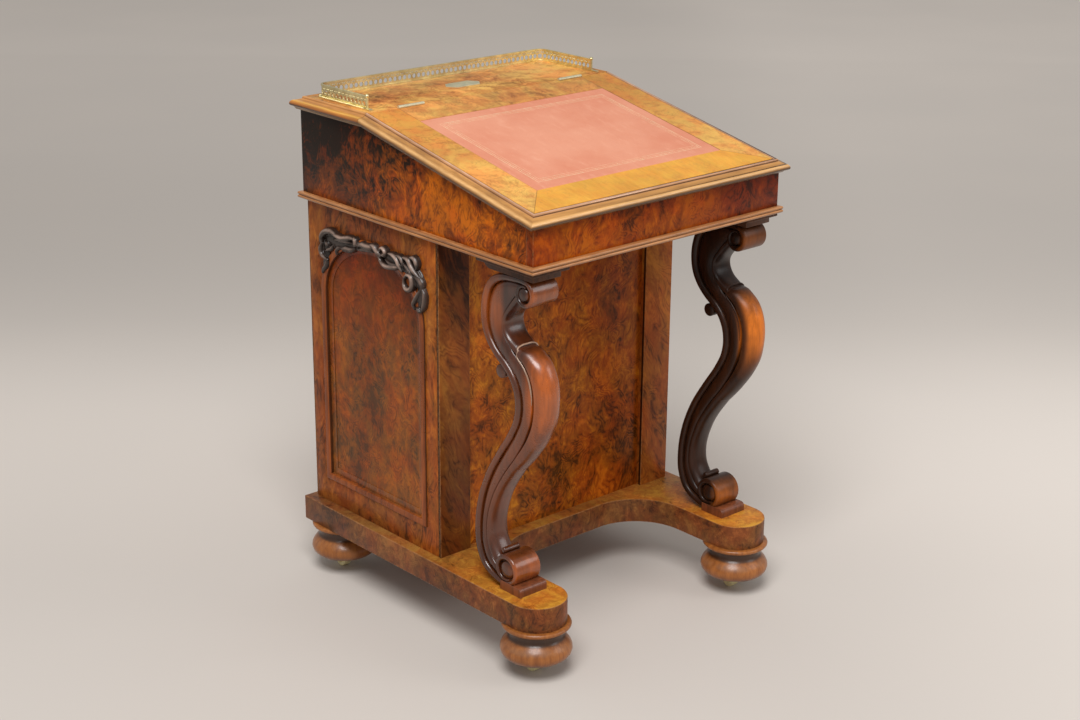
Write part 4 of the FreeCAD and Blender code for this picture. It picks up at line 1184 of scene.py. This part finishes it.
def borderTree():
    # Tooling along a closed level line: a pressed fillet, or a row of small beads.
    inputs = ("Geometry", "Line Width", "Bead Pitch", "Bead Radius", "Relief", "Material")
    tree, given, result = newTree("Geometry", "giltBorder", inputs, ("Geometry",))
    path = wire("GeometryNodeMeshToCurve", {"Mesh": given["Geometry"]})
    links = {"Width": given["Line Width"], "Height": given["Relief"]}
    section = wire("GeometryNodeCurvePrimitiveQuadrilateral", links, mode="RECTANGLE")
    fillet = wire("GeometryNodeCurveToMesh", {"Curve": path, "Profile Curve": section})
    links = {"Curve": path, "Length": given["Bead Pitch"]}
    spaced = wire("GeometryNodeResampleCurve", links, mode="LENGTH")
    bead = wire("GeometryNodeMeshIcoSphere", {"Subdivisions": 2, "Radius": given["Bead Radius"]})
    bead = moved(bead, size=vectorOf(1.0, 1.0, given["Relief"] / given["Bead Radius"]))
    beads = wire("GeometryNodeInstanceOnPoints", {"Points": spaced, "Instance": bead})
    finishedTree(gathered(fillet, beads), given, result)
    return tree


def addTooling():
    tree = borderTree()
    lines = [("fillet", inset, width, 1.0, 0.1 * mm) for inset, width in hide["fillets"]]
    lines.append(("beads", hide["beadLine"], 0.25 * mm, hide["beadPitch"], hide["beadRadius"]))
    pieces = []
    for name, inset, width, pitch, radius in lines:
        x, low = hideHalf - inset, inset - hideLength
        corners = [(-x, -inset, 0.0), (x, -inset, 0.0), (x, low, 0.0), (-x, low, 0.0)]
        pieces.append(grown(name, corners, True, tree, {
            "Line Width": width, "Bead Pitch": pitch, "Bead Radius": radius, "Relief": hide["relief"],
            "Material": rubbedGilt}))
    obj = joined("giltTooling", pieces)
    obj.data.transform(lidFrame)
    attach(obj, bodyOf["lid_leather"])


leatherSheet()
addTooling()
print("stage: leather and tooling")


# Carved crest over the false door

crest = {
    "back": 2.0 * mm,  # how far its back sinks below the door frame's face
    "voxel": 0.75 * mm,
    "sectionPoints": 9,
    "swell": 1.2,
    "softening": 0.5,
    "softenings": 2,
}
# Each stroke: half width, height and the line it follows, as (y, z) in mm with the tip last.
crestGround = [
    (7.0, 4.5, [(248, 554), (241, 572), (238, 590), (236, 606), (225, 618)]),
    (12.0, 5.0, [(238, 604), (226, 616), (206, 616), (186, 616), (164, 619), (148, 621)]),
    (6.0, 4.0, [(156, 622), (134, 623), (112, 625), (92, 625), (76, 623)]),
    (9.5, 4.5, [(82, 622), (64, 619), (44, 618), (26, 614), (8, 604)]),
    (13.0, 5.5, [(22, 616), (6, 609), (-6, 599), (-14, 588)]),
    (9.0, 5.5, [(-10, 600), (-15, 586), (-14, 571), (-10, 556)]),
]
crestStrokes = [
    (4.2, 9.0, [(248, 553), (244, 561), (237, 568), (233, 577), (231, 583)]),
    (3.6, 10.5, [(229, 580), (240, 583), (247, 587), (250, 594), (247, 603), (243, 607)]),
    (5.2, 12.0, [(246, 606), (247, 614), (240, 624), (228, 630), (214, 631), (203, 627)]),
    (4.6, 11.5, [(218, 629), (204, 627), (190, 626), (176, 629), (163, 632), (152, 631)]),
    (3.2, 9.5, [(214, 618), (200, 621), (184, 622), (170, 623), (160, 624)]),
    (4.5, 11.0, [(156, 635), (152, 631), (151, 625), (154, 619)]),
    (5.0, 9.0, [(235, 611), (231, 607), (228, 610)]),
    (3.6, 9.5, [(237, 594), (228, 598), (219, 602), (214, 610)]),
    (3.4, 9.0, [(206, 594), (206, 601), (200, 607), (192, 610)]),
    (4.6, 9.5, [(192, 608), (178, 611), (163, 612), (153, 617)]),
    (5.4, 10.5, [(147, 623), (136, 627), (122, 627), (108, 629), (101, 632)]),
    (3.6, 8.5, [(148, 616), (135, 619), (119, 621), (105, 621)]),
    (4.6, 11.0, [(112, 632), (103, 632), (97, 627), (89, 622), (84, 618)]),
    (3.6, 12.0, [(86, 627), (84, 632), (76, 634), (71, 629), (75, 623), (83, 623)]),
    (4.4, 11.0, [(90, 620), (85, 611), (74, 606), (57, 607), (41, 611), (31, 617)]),
    (3.4, 9.0, [(74, 617), (62, 613), (50, 613), (40, 617)]),
    (4.2, 11.5, [(64, 629), (50, 628), (41, 622), (36, 614), (29, 606)]),
    (3.4, 10.0, [(46, 630), (34, 629), (28, 622), (28, 614)]),
    (4.6, 12.0, [(26, 631), (12, 629), (6, 621), (-3, 613), (-13, 607)]),
    (4.2, 11.0, [(10, 634), (-2, 635), (-8, 628), (-7, 618)]),
    (3.4, 10.0, [(26, 620), (17, 617), (9, 611), (2, 604)]),
    (4.4, 12.0, [(24, 597), (16, 604), (6, 603), (3, 594), (5, 585), (14, 580), (22, 583), (25, 591),
                 (24, 597)]),
    (5.5, 9.5, [(0, 606), (-12, 603), (-19, 596), (-19, 588)]),
    (4.0, 10.0, [(-19, 590), (-10, 578), (-2, 567), (3, 558), (-1, 550)]),
    (4.0, 9.5, [(-19, 590), (-25, 581), (-25, 570), (-22, 559), (-16, 550)]),
    (3.4, 9.0, [(-6, 556), (-11, 551), (-16, 549)]),
]


def strokeMesh(half, height, line):
    # A rounded ridge that swells from its root and narrows to its tip, on the door frame's face.
    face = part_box("false_door_frame")[0].x
    path = flow(line, max(14, 5 * len(line)))
    turns = np.linspace(-quarter, quarter, crest["sectionPoints"])
    verts = []
    for k, ((y, z), (ty, tz)) in enumerate(zip(path, unit(np.gradient(path, axis=0)))):
        t = k / (len(path) - 1)
        swell = min(1.0, 0.5 + 1.6 * t) * min(1.0, 0.42 + 2.1 * (1.0 - t))
        wide = crest["swell"] * half * swell
        tall = height * (0.55 + 0.45 * swell) * mm
        section = [(wide * math.sin(a), face - tall * math.cos(a) ** 0.8) for a in turns]
        section += [(wide, face + crest["back"]), (-wide, face + crest["back"])]
        verts += [(x, (y - tz * across) * mm, (z + ty * across) * mm) for across, x in section]
    return cleaned(fromArrays("stroke", verts, tubeFaces(len(path), len(section)), appliedCarving))


def addCrest():
    obj = joined("carvedCrest", [strokeMesh(*stroke) for stroke in crestGround + crestStrokes])
    merge = obj.modifiers.new("merge", "REMESH")
    merge.mode = "VOXEL"
    merge.voxel_size = crest["voxel"]
    soft = obj.modifiers.new("soft", "SMOOTH")
    soft.factor = crest["softening"]
    soft.iterations = crest["softenings"]
    fixedMesh(obj)
    obj.data.materials.clear()
    obj.data.materials.append(appliedCarving)
    shadeByAngle(obj.data, 180)
    markHollows(obj, reach=1.2 * mm, passes=5)
    place(obj, "false_door_carving")


addCrest()
print("stage: carved crest")


# Scroll supports

# Lengths in mm unless noted.
support = {
    "bandBulge": 5.0,
    "memberBulge": 5.5,
    "memberFrom": 13.2,
    "grooveFloor": 8.0,
    "lobeGap": 5.5,
    "webHalf": 19.0,
    "curlSteps": 34,
    "pathSteps": 300,
    "bodySteps": 240,
    "fineSteps": 400,
    "lobeSteps": 90,
    "lobeTop": 409.0,
    "lobeFoot": 205.0,
    "lobeHalf": 23.0,
    "lobeProud": 4.0,
    "beadRadius": 1.5,
    "beadRise": 9.5,
    "beadSides": 8,
    "barSides": 40,
    "notchAt": 21.5,
    "notchDepth": 3.4,
    "drawnHeight": 0.523,  # metres, as the lines below are drawn
}
# Band: behind the foot's axis, above the plinth, thickness, half width (mm), from the upper eye down.
upperCurl = [
    (470, 12.5, 3.0, 24), (420, 14.8, 4.4, 25.5), (360, 17.2, 6.4, 26.5), (270, 21.2, 7.2, 27),
    (180, 23.3, 7.6, 27), (120, 23.7, 8.0, 27),
]
upperCentre = (7.5, 499.3)
rearLine = [
    (8, 523, 8.5, 27), (32, 523, 9.5, 27), (56, 521, 11, 27), (78, 513, 12.5, 27), (94, 497, 12.5, 27),
    (103, 474, 12.5, 27), (105.5, 446, 12.5, 27), (100, 420, 12.5, 27), (87, 399, 12.5, 27),
    (70, 383, 12.5, 27), (53, 371, 13, 27), (39, 357, 13, 27), (29.5, 339, 13, 27), (26, 318, 12.5, 27),
    (29, 296, 12, 27), (41.5, 270, 11.5, 27), (66, 233, 11, 27), (93, 189, 11, 27), (112, 141, 11, 27),
    (120.5, 91, 11.5, 27), (117.5, 52, 12, 27), (103, 24, 12, 27), (76, 8.5, 11, 27), (47, 5, 10, 27),
]
lowerCentre = (46.5, 34.0)
lowerCurl = [
    (225, 28.4, 9.6, 27), (180, 27.8, 9.2, 27), (90, 26.2, 8.6, 27), (0, 23.6, 7.6, 27),
    (-70, 20.6, 5.6, 26), (-120, 18.4, 3.4, 25),
]
# Body: rear edge, front edge, half width, share where the rounded front begins, how square the front is.
bodyLine = [
    (22, 523, 8, 503, 19, 0.75, 0.8), (40, 523, 14, 492, 21.5, 0.78, 0.8),
    (66, 518, 31, 474, 21.5, 0.84, 0.8), (86, 506, 43, 461, 21.5, 0.88, 0.7),
    (100, 482, 51.5, 450, 21.5, 0.89, 0.7), (105.5, 457, 54, 441, 21.5, 0.89, 0.7),
    (104.5, 434, 51, 431, 22, 0.86, 0.7), (97, 414, 42, 421, 22.3, 0.82, 0.8),
    (85, 398, 24, 411.5, 22.5, 0.76, 0.9), (70, 384, 2, 402, 22.5, 0.72, 1),
    (55, 372, -16.5, 389, 22.5, 0.71, 1), (41, 359, -28.5, 368, 22.5, 0.71, 1),
    (30.5, 342, -33.5, 344, 22.5, 0.7, 1), (26, 320, -33, 317, 22.5, 0.69, 1),
    (29, 298, -28.5, 293, 22.5, 0.69, 1), (41.5, 271, -16.5, 267, 22.3, 0.7, 1),
    (66.5, 233, 8.5, 231, 22, 0.7, 1), (93.5, 188, 41, 193, 21.5, 0.71, 1),
    (112.5, 141, 71.5, 147, 21, 0.72, 1), (120.5, 91, 88, 97, 21, 0.74, 1),
    (117.5, 52, 85, 72, 21.5, 0.72, 1), (104, 26, 72, 52, 22, 0.7, 1), (80, 10, 58, 38, 22, 0.7, 1),
]
footPlace = jointAt["castor_front_right_swivel"]["pos_m"]
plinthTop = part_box("plinth")[1].z
stretch = (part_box("support_right")[1].z - plinthTop) / support["drawnHeight"]


def scrollPoint(x, behind, above):
    return (footPlace[0] + x * mm, footPlace[1] + behind * mm, plinthTop + above * mm * stretch)


def curlRows(centre, rows):
    # A curl smoothed in its own turn and radius, so that few rows still make a round spiral.
    dense = flow([(turn / 10.0, 0.0, *rest) for turn, *rest in rows], support["curlSteps"])
    found = []
    for turn, _, radius, thick, half in dense:
        angle = math.radians(10.0 * turn)
        behind, above = centre[0] + radius * math.cos(angle), centre[1] + radius * math.sin(angle)
        found.append((behind, above, thick, half))
    return found


def scrollBand():
    # The strap round the outside of the S: flat behind, with each side a full half-round.
    rows = curlRows(upperCentre, upperCurl) + rearLine + curlRows(lowerCentre, lowerCurl)
    path = flow(rows, support["pathSteps"])
    verts = []
    for (behind, above, thick, half), (alongB, alongA) in zip(path, unit(np.gradient(path[:, :2], axis=0))):
        bulge = min(support["bandBulge"], thick * 0.42)
        side = [(half - bulge + bulge * math.cos(a), thick * (0.5 + 0.5 * math.sin(a)))
                for a in np.linspace(-quarter, quarter, 13)]
        section = [(-x, d) for x, d in reversed(side)] + side
        verts += [scrollPoint(x, behind + alongA * d, above - alongB * d) for x, d in section]
    return fromArrays("band", verts, tubeFaces(len(path), len(section)), carvedWalnut)


def rowWidth(row):
    return math.hypot(row[2] - row[0], row[3] - row[1])


def onRow(row, h, w):
    # A point on a body row: h out from the middle, w on from the rear edge.
    share = w / rowWidth(row)
    return scrollPoint(h, row[0] + (row[2] - row[0]) * share, row[1] + (row[3] - row[1]) * share)


def frontEdge(row):
    return max(row[5] * rowWidth(row), support["memberFrom"] + 8.0)


def roundness(square):
    return 0.62 + 0.2 * square


def frontRound(row, across):
    # How far from the rear edge the rounded front stands, a given way out from the middle.
    front, square = frontEdge(row), row[6]
    cosine = min(abs(across) / (row[4] - 0.4), 1.0) ** (1.0 / roundness(square))
    return front + (rowWidth(row) - front) * math.sqrt(1.0 - cosine * cosine) ** square


def bodySection(row):
    # From the groove beside the band: a full round member, a quirk, then the front.
    frontB, frontA, half, _, square = row[2:]
    width, front = rowWidth(row), frontEdge(row)
    bulge, start = support["memberBulge"], support["memberFrom"]
    notch = support["notchDepth"] * near(frontB, support["notchAt"], 3.2) if frontA > 395.0 else 0.0
    gap = support["lobeGap"] * smoothStep(frontA, 215.0, 290.0) * (1.0 - smoothStep(frontA, 404.0, 414.0))
    end = front - 1.2 - gap
    floor, quirk = half - support["grooveFloor"], half - bulge - 0.7 * gap
    right = [(floor, 5.0), (floor, start - 1.4)]
    for a in np.linspace(-quarter, quarter, 15):
        w = start + (end - start) * (0.5 + 0.5 * math.sin(a))
        right.append((half + 1.6 - bulge + bulge * math.cos(a), w))
    right += [(quirk, end + 0.6), (quirk, front - 0.3)]
    for a in np.linspace(0.0, quarter, 15)[:-1]:
        h = (half - 0.4) * math.cos(a) ** roundness(square)
        w = front + (width - front) * math.sin(a) ** square
        right.append((h, w - notch * max(0.0, 1.0 - (h / 20.0) ** 2)))
    right.append((0.0, width - notch))
    return [onRow(row, h, w) for h, w in right + [(-h, w) for h, w in reversed(right[:-1])]]


def bodyRows(count):
    return flow(bodyLine, count, measured=4)


def scrollBody():
    sections = [bodySection(row) for row in bodyRows(support["bodySteps"])]
    verts = [point for section in sections for point in section]
    return fromArrays("body", verts, tubeFaces(len(sections), len(sections[0])), carvedWalnut)


def rowAt(rows, above):
    return int(np.argmin(np.abs(rows[:, 3] - above)))


def lobeRows(count):
    # Down the knee: row of the body, rear edge of the lobe along it, its half width and its depth.
    rows = bodyRows(support["fineSteps"])
    first, last = rowAt(rows, support["lobeTop"]), rowAt(rows, support["lobeFoot"])
    wide = support["lobeHalf"]
    found = []
    for t in np.linspace(0.0, 1.0, count):
        row = rows[int(round(first + (last - first) * t ** 1.35))]
        width = rowWidth(row)
        nose = math.sqrt(max(0.0, 1.0 - (1.0 - min(t / 0.13, 1.0)) ** 2))
        proud = support["lobeProud"] * (1.0 - 0.7 * t) + 3.0 * near(t, 0.0, 0.14)
        share = row[5] + 0.01 + (0.97 - row[5]) * (1.0 - nose) ** 0.8
        half = wide * (0.12 + 0.88 * nose) - (wide - row[4] + 1.5) * smoothStep(t, 0.4, 1.0)
        found.append((row, share * width, half, width + proud * (0.3 + 0.7 * nose) - share * width))
    return found


def kneeLobe():
    # The raised leaf on the knee: a rounded shoulder at the top, dying away down the shin.
    turns = np.linspace(-quarter, quarter, 27)
    under = ((0.9, 2.0), (0.6, 7.0), (-0.6, 7.0), (-0.9, 2.0))  # share of the half width, depth
    verts = []
    for row, rimAt, half, deep in lobeRows(support["lobeSteps"]):
        ring = [(half * math.sin(a), rimAt + deep * math.cos(a) ** 0.85) for a in turns]
        ring += [(half * share, rimAt - drop) for share, drop in under]
        verts += [onRow(row, h, w) for h, w in ring]
    return fromArrays("lobe", verts, tubeFaces(support["lobeSteps"], len(ring)), carvedWalnut)


def kneeBead():
    # A fine bead round the top and sides of the lobe.
    reach, sides = support["lobeHalf"] - 3.0, support["beadSides"]
    down = []
    for k, (row, rimAt, half, _) in enumerate(lobeRows(120)[:62]):
        u = smoothStep(k, 0.0, 22.0)
        out = reach + u * (min(half, row[4] - 1.0) - reach)
        onFront = frontRound(row, out) + 0.4
        down.append((row, out, onFront + u * (rimAt - support["lobeGap"] - 1.0 - onFront)))
    rows = bodyRows(support["fineSteps"])
    fallen = runLength(rows[:, 2:4])
    top = fallen[rowAt(rows, support["lobeTop"])]
    line = [onRow(row, -half, w) for row, half, w in reversed(down)]
    for s in np.linspace(-1.0, 1.0, 41)[1:-1]:
        row = rows[int(np.searchsorted(fallen, top - support["beadRise"] * math.sqrt(1.0 - s * s)))]
        line.append(onRow(row, s * reach, frontRound(row, s * reach) + 0.3))
    line = np.array(line + [onRow(row, half, w) for row, half, w in down])
    for _ in range(6):
        line[1:-1] = 0.25 * line[:-2] + 0.5 * line[1:-1] + 0.25 * line[2:]
    tangent = unit(np.gradient(line, axis=0))
    across = unit(np.cross(tangent, np.array([0.3, -1.0, 0.4])))
    other = np.cross(tangent, across)
    verts = []
    for k, point in enumerate(line):
        end = min(k, len(line) - 1 - k)
        r = support["beadRadius"] * mm * min(1.0, 0.25 + end / 14.0)
        verts += [point + r * (across[k] * math.cos(a) + other[k] * math.sin(a)) for a in fullTurn(sides)]
    # Pale walnut: a painted highlight along the bead.
    return fromArrays("kneeBead", verts, tubeFaces(len(line), sides), paleWalnut)


def crossBar(name, centre, radius, half, ends):
    # A turned bar lying across the support; ends is how far each end is domed.
    dome = [(radius * (0.15 + 0.85 * math.sin(a)), half - ends + ends * math.cos(a))
            for a in np.linspace(0.0, quarter, 7)]
    profile = [(r, -x) for r, x in dome] + [(r, x) for r, x in reversed(dome)]
    verts = [scrollPoint(x, centre[0] + r * math.cos(a), centre[1] + r * math.sin(a))
             for r, x in profile for a in fullTurn(support["barSides"])]
    return fromArrays(name, verts, tubeFaces(len(profile), support["barSides"]), carvedWalnut)


# Bars across each support: centre, radius, half length, how far the ends are domed.
bars = {
    "upperWeb": (upperCentre, 20.0, support["webHalf"], 1.0),
    "upperEye": ((12.0, 497.0), 12.5, 25.0, 6.5),
    "lowerWeb": (lowerCentre, 25.0, support["webHalf"], 1.0),
    "lowerEye": ((46.0, 34.0), 15.5, 26.0, 6.5),
    "rearSpur": ((64.0, 362.0), 11.0, 22.0, 3.0),
    "toeLip": ((62.0, 60.0), 5.0, 17.0, 3.0),
}


def paintedLightAt(behind, above, aside, leftOnly):
    # Painted light: warmer, paler patches on the knee, rolls and toe, and on the left support, painted as
    # more lit, the neck and shin too.
    knee = near(above, 345.0, 48.0 + 14.0 * leftOnly) * clipped((14.0 - behind) / 22.0)
    knee *= 0.8 * leftOnly + (1.0 - 0.8 * leftOnly) * (1.0 - smoothStep(aside, 17.0, 23.5))
    neck = leftOnly * near(above, 470.0, 48.0) * clipped((behind - 52.0) / 14.0)
    roll = near(above, 497.0, 20.0) * clipped((4.0 - behind) / 8.0)
    toe = 0.7 * near(above, 38.0, 26.0) * clipped((40.0 - behind) / 14.0)
    shin = (0.02 + 0.4 * leftOnly) * near(above, 210.0, 140.0)
    return min(1.0, knee * 1.25 + roll * (0.25 + 0.75 * leftOnly) + toe + shin + neck)


def markPaintedLight(obj, leftOnly):
    # Back into the drawing's millimetres: behind the foot's axis, above the plinth, away from the middle.
    values = []
    for x, y, z in readMesh(obj.data.vertices, "co", 3) / mm:
        aside = abs(abs(x) - footPlace[0] / mm)
        values.append(paintedLightAt(y - footPlace[1] / mm, z - plinthTop / mm, aside, leftOnly))
    # The painted light is stored as the "proud" values.
    storeValues(obj.data, "proud", values)


def addSupports():
    pieces = [scrollBand(), scrollBody(), kneeLobe(), kneeBead()]
    pieces += [crossBar(name, *bars[name]) for name in bars]
    right = joined("scrollSupportRight", [cleaned(piece) for piece in pieces])
    shadeByAngle(right.data, 50)
    markHollows(right, reach=1.6 * mm, passes=3)
    left = newObject("scrollSupportLeft", right.data.copy())
    left.data.transform(Matrix.Scale(-1, 4, (1, 0, 0)))
    left.data.flip_normals()
    # The left support is painted as more lit than the right.
    markPaintedLight(right, 0.0)
    markPaintedLight(left, 0.62)
    # Painted shade: the right support takes the darker, shaded copy of the carving's material all over, its
    # bead too.
    right.data.materials.clear()
    right.data.materials.append(shadedWalnut)
    place(right, "support_right")
    place(left, "support_left")


addSupports()
print("stage: scroll supports")


# Turned feet

foot = {
    "steps": 96,
    # Radius and height (mm) up the turning: cavity floor, bun, scotia, bead.
    "profile": [
        (0.0, 36.0), (22.5, 36.0), (22.5, 28.5), (36.0, 28.5), (43.0, 29.3), (49.0, 31.6), (53.5, 35.0),
        (56.6, 39.4), (58.0, 44.5), (57.5, 49.5), (55.2, 54.6), (51.4, 59.6), (47.0, 63.8), (44.5, 66.0),
        (42.6, 69.0), (41.9, 73.5), (42.3, 78.5), (44.0, 82.6), (51.6, 82.8), (54.4, 84.0), (56.0, 86.2),
        (56.2, 88.0), (55.0, 90.0), (52.0, 91.0), (0.0, 91.0),
    ],
}


def turnedFoot(end):
    x, y, _ = jointAt["castor_" + end + "_swivel"]["pos_m"]
    verts = [(x + radius * mm * math.cos(a), y + radius * mm * math.sin(a), height * mm)
             for radius, height in foot["profile"] for a in fullTurn(foot["steps"])]
    faces = tubeFaces(len(foot["profile"]), foot["steps"], capped=False)
    return cleaned(fromArrays("foot", verts, faces, footWalnut))


def addFeet():
    ends = ("front_left", "front_right", "back_left", "back_right")
    obj = joined("turnedFeet", [turnedFoot(end) for end in ends])
    shadeByAngle(obj.data, 42)
    place(obj, "bun_feet")


addFeet()
print("stage: feet")


# Plain timber, eased at the arrises

easedNodes = {
    "plinth": (plinthVeneer, 1.2 * mm),
    "knee_stiles": (figuredStiles, 0.8 * mm),
    "back_stiles": (figuredStiles, 0.8 * mm),
    "knee_panel": (figuredKnee, 0.0),
    "back_panel": (figuredKnee, 0.0),
    "false_door_frame": (figuredFrame, 0.6 * mm),
    "false_door_panel": (figuredDoor, 0.0),
    "drawer_side_stiles": (figuredStiles, 0.6 * mm),
    "case_side_left": (figuredSides, 0.6 * mm),
    "case_side_right": (figuredSides, 0.6 * mm),
    "case_apron": (figuredApron, 0.6 * mm),
    "case_back": (figuredBack, 0.0),
    "flat_top": (figuredTop, 0.0),
    "lid_board": (lidBoardVeneer, 0.0, 5.0),  # flat right up to its edges
    "support_caps": (capWalnut, 1.2 * mm),
    "flat_top_moulding": (topRim, 0.0),
    "lid_moulding": (lidRim, 0.0),
}
for node, settings in easedNodes.items():
    eased(node, *settings)
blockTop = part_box("support_base_blocks")[1].z - 0.1 * mm
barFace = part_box("false_door_moulding")[0].x + 0.1 * mm
eased("support_base_blocks", blockWalnut, 6.5 * mm, segments=5, only=lambda co: co.z > blockTop)
eased("false_door_moulding", doorMoulding, 3.3 * mm, segments=4, only=lambda co: co.x < barFace)
splitByRun(eased("case_floor_moulding", reedAcross, 0.0, angle=28), reedAlong)
print("stage: eased timber")


# CAD nodes that keep their shape, with the first pattern that fits

kept = {
    "case_floor": carcassWood,
    "interior_nest": satinAcross,
    "nest_drawer_*": satinAcross,
    "nest_knob_*": turnedWalnut,
    "castor_wheel*": rollerBrass,
    "castor_*": agedBrass,
    "lid_hinge_*": paleBrass,
    "gallery_rails": agedBrass,
    "gallery_posts": agedBrass,
    "top_plaque": paleBrass,
    "drawer_dividers": levelWalnut,
    "drawer_*_front": figuredFronts,
    "drawer_*_box": liningWood,
    "drawer_*_knobs": turnedWalnut,
}
for name, node in frame["nodes"].items():
    fitting = [material for pattern, material in kept.items() if fnmatch(name, pattern)]
    if fitting:
        node.data.materials.clear()
        node.data.materials.append(fitting[0])
print("stage: kept nodes")


print("stage: done")
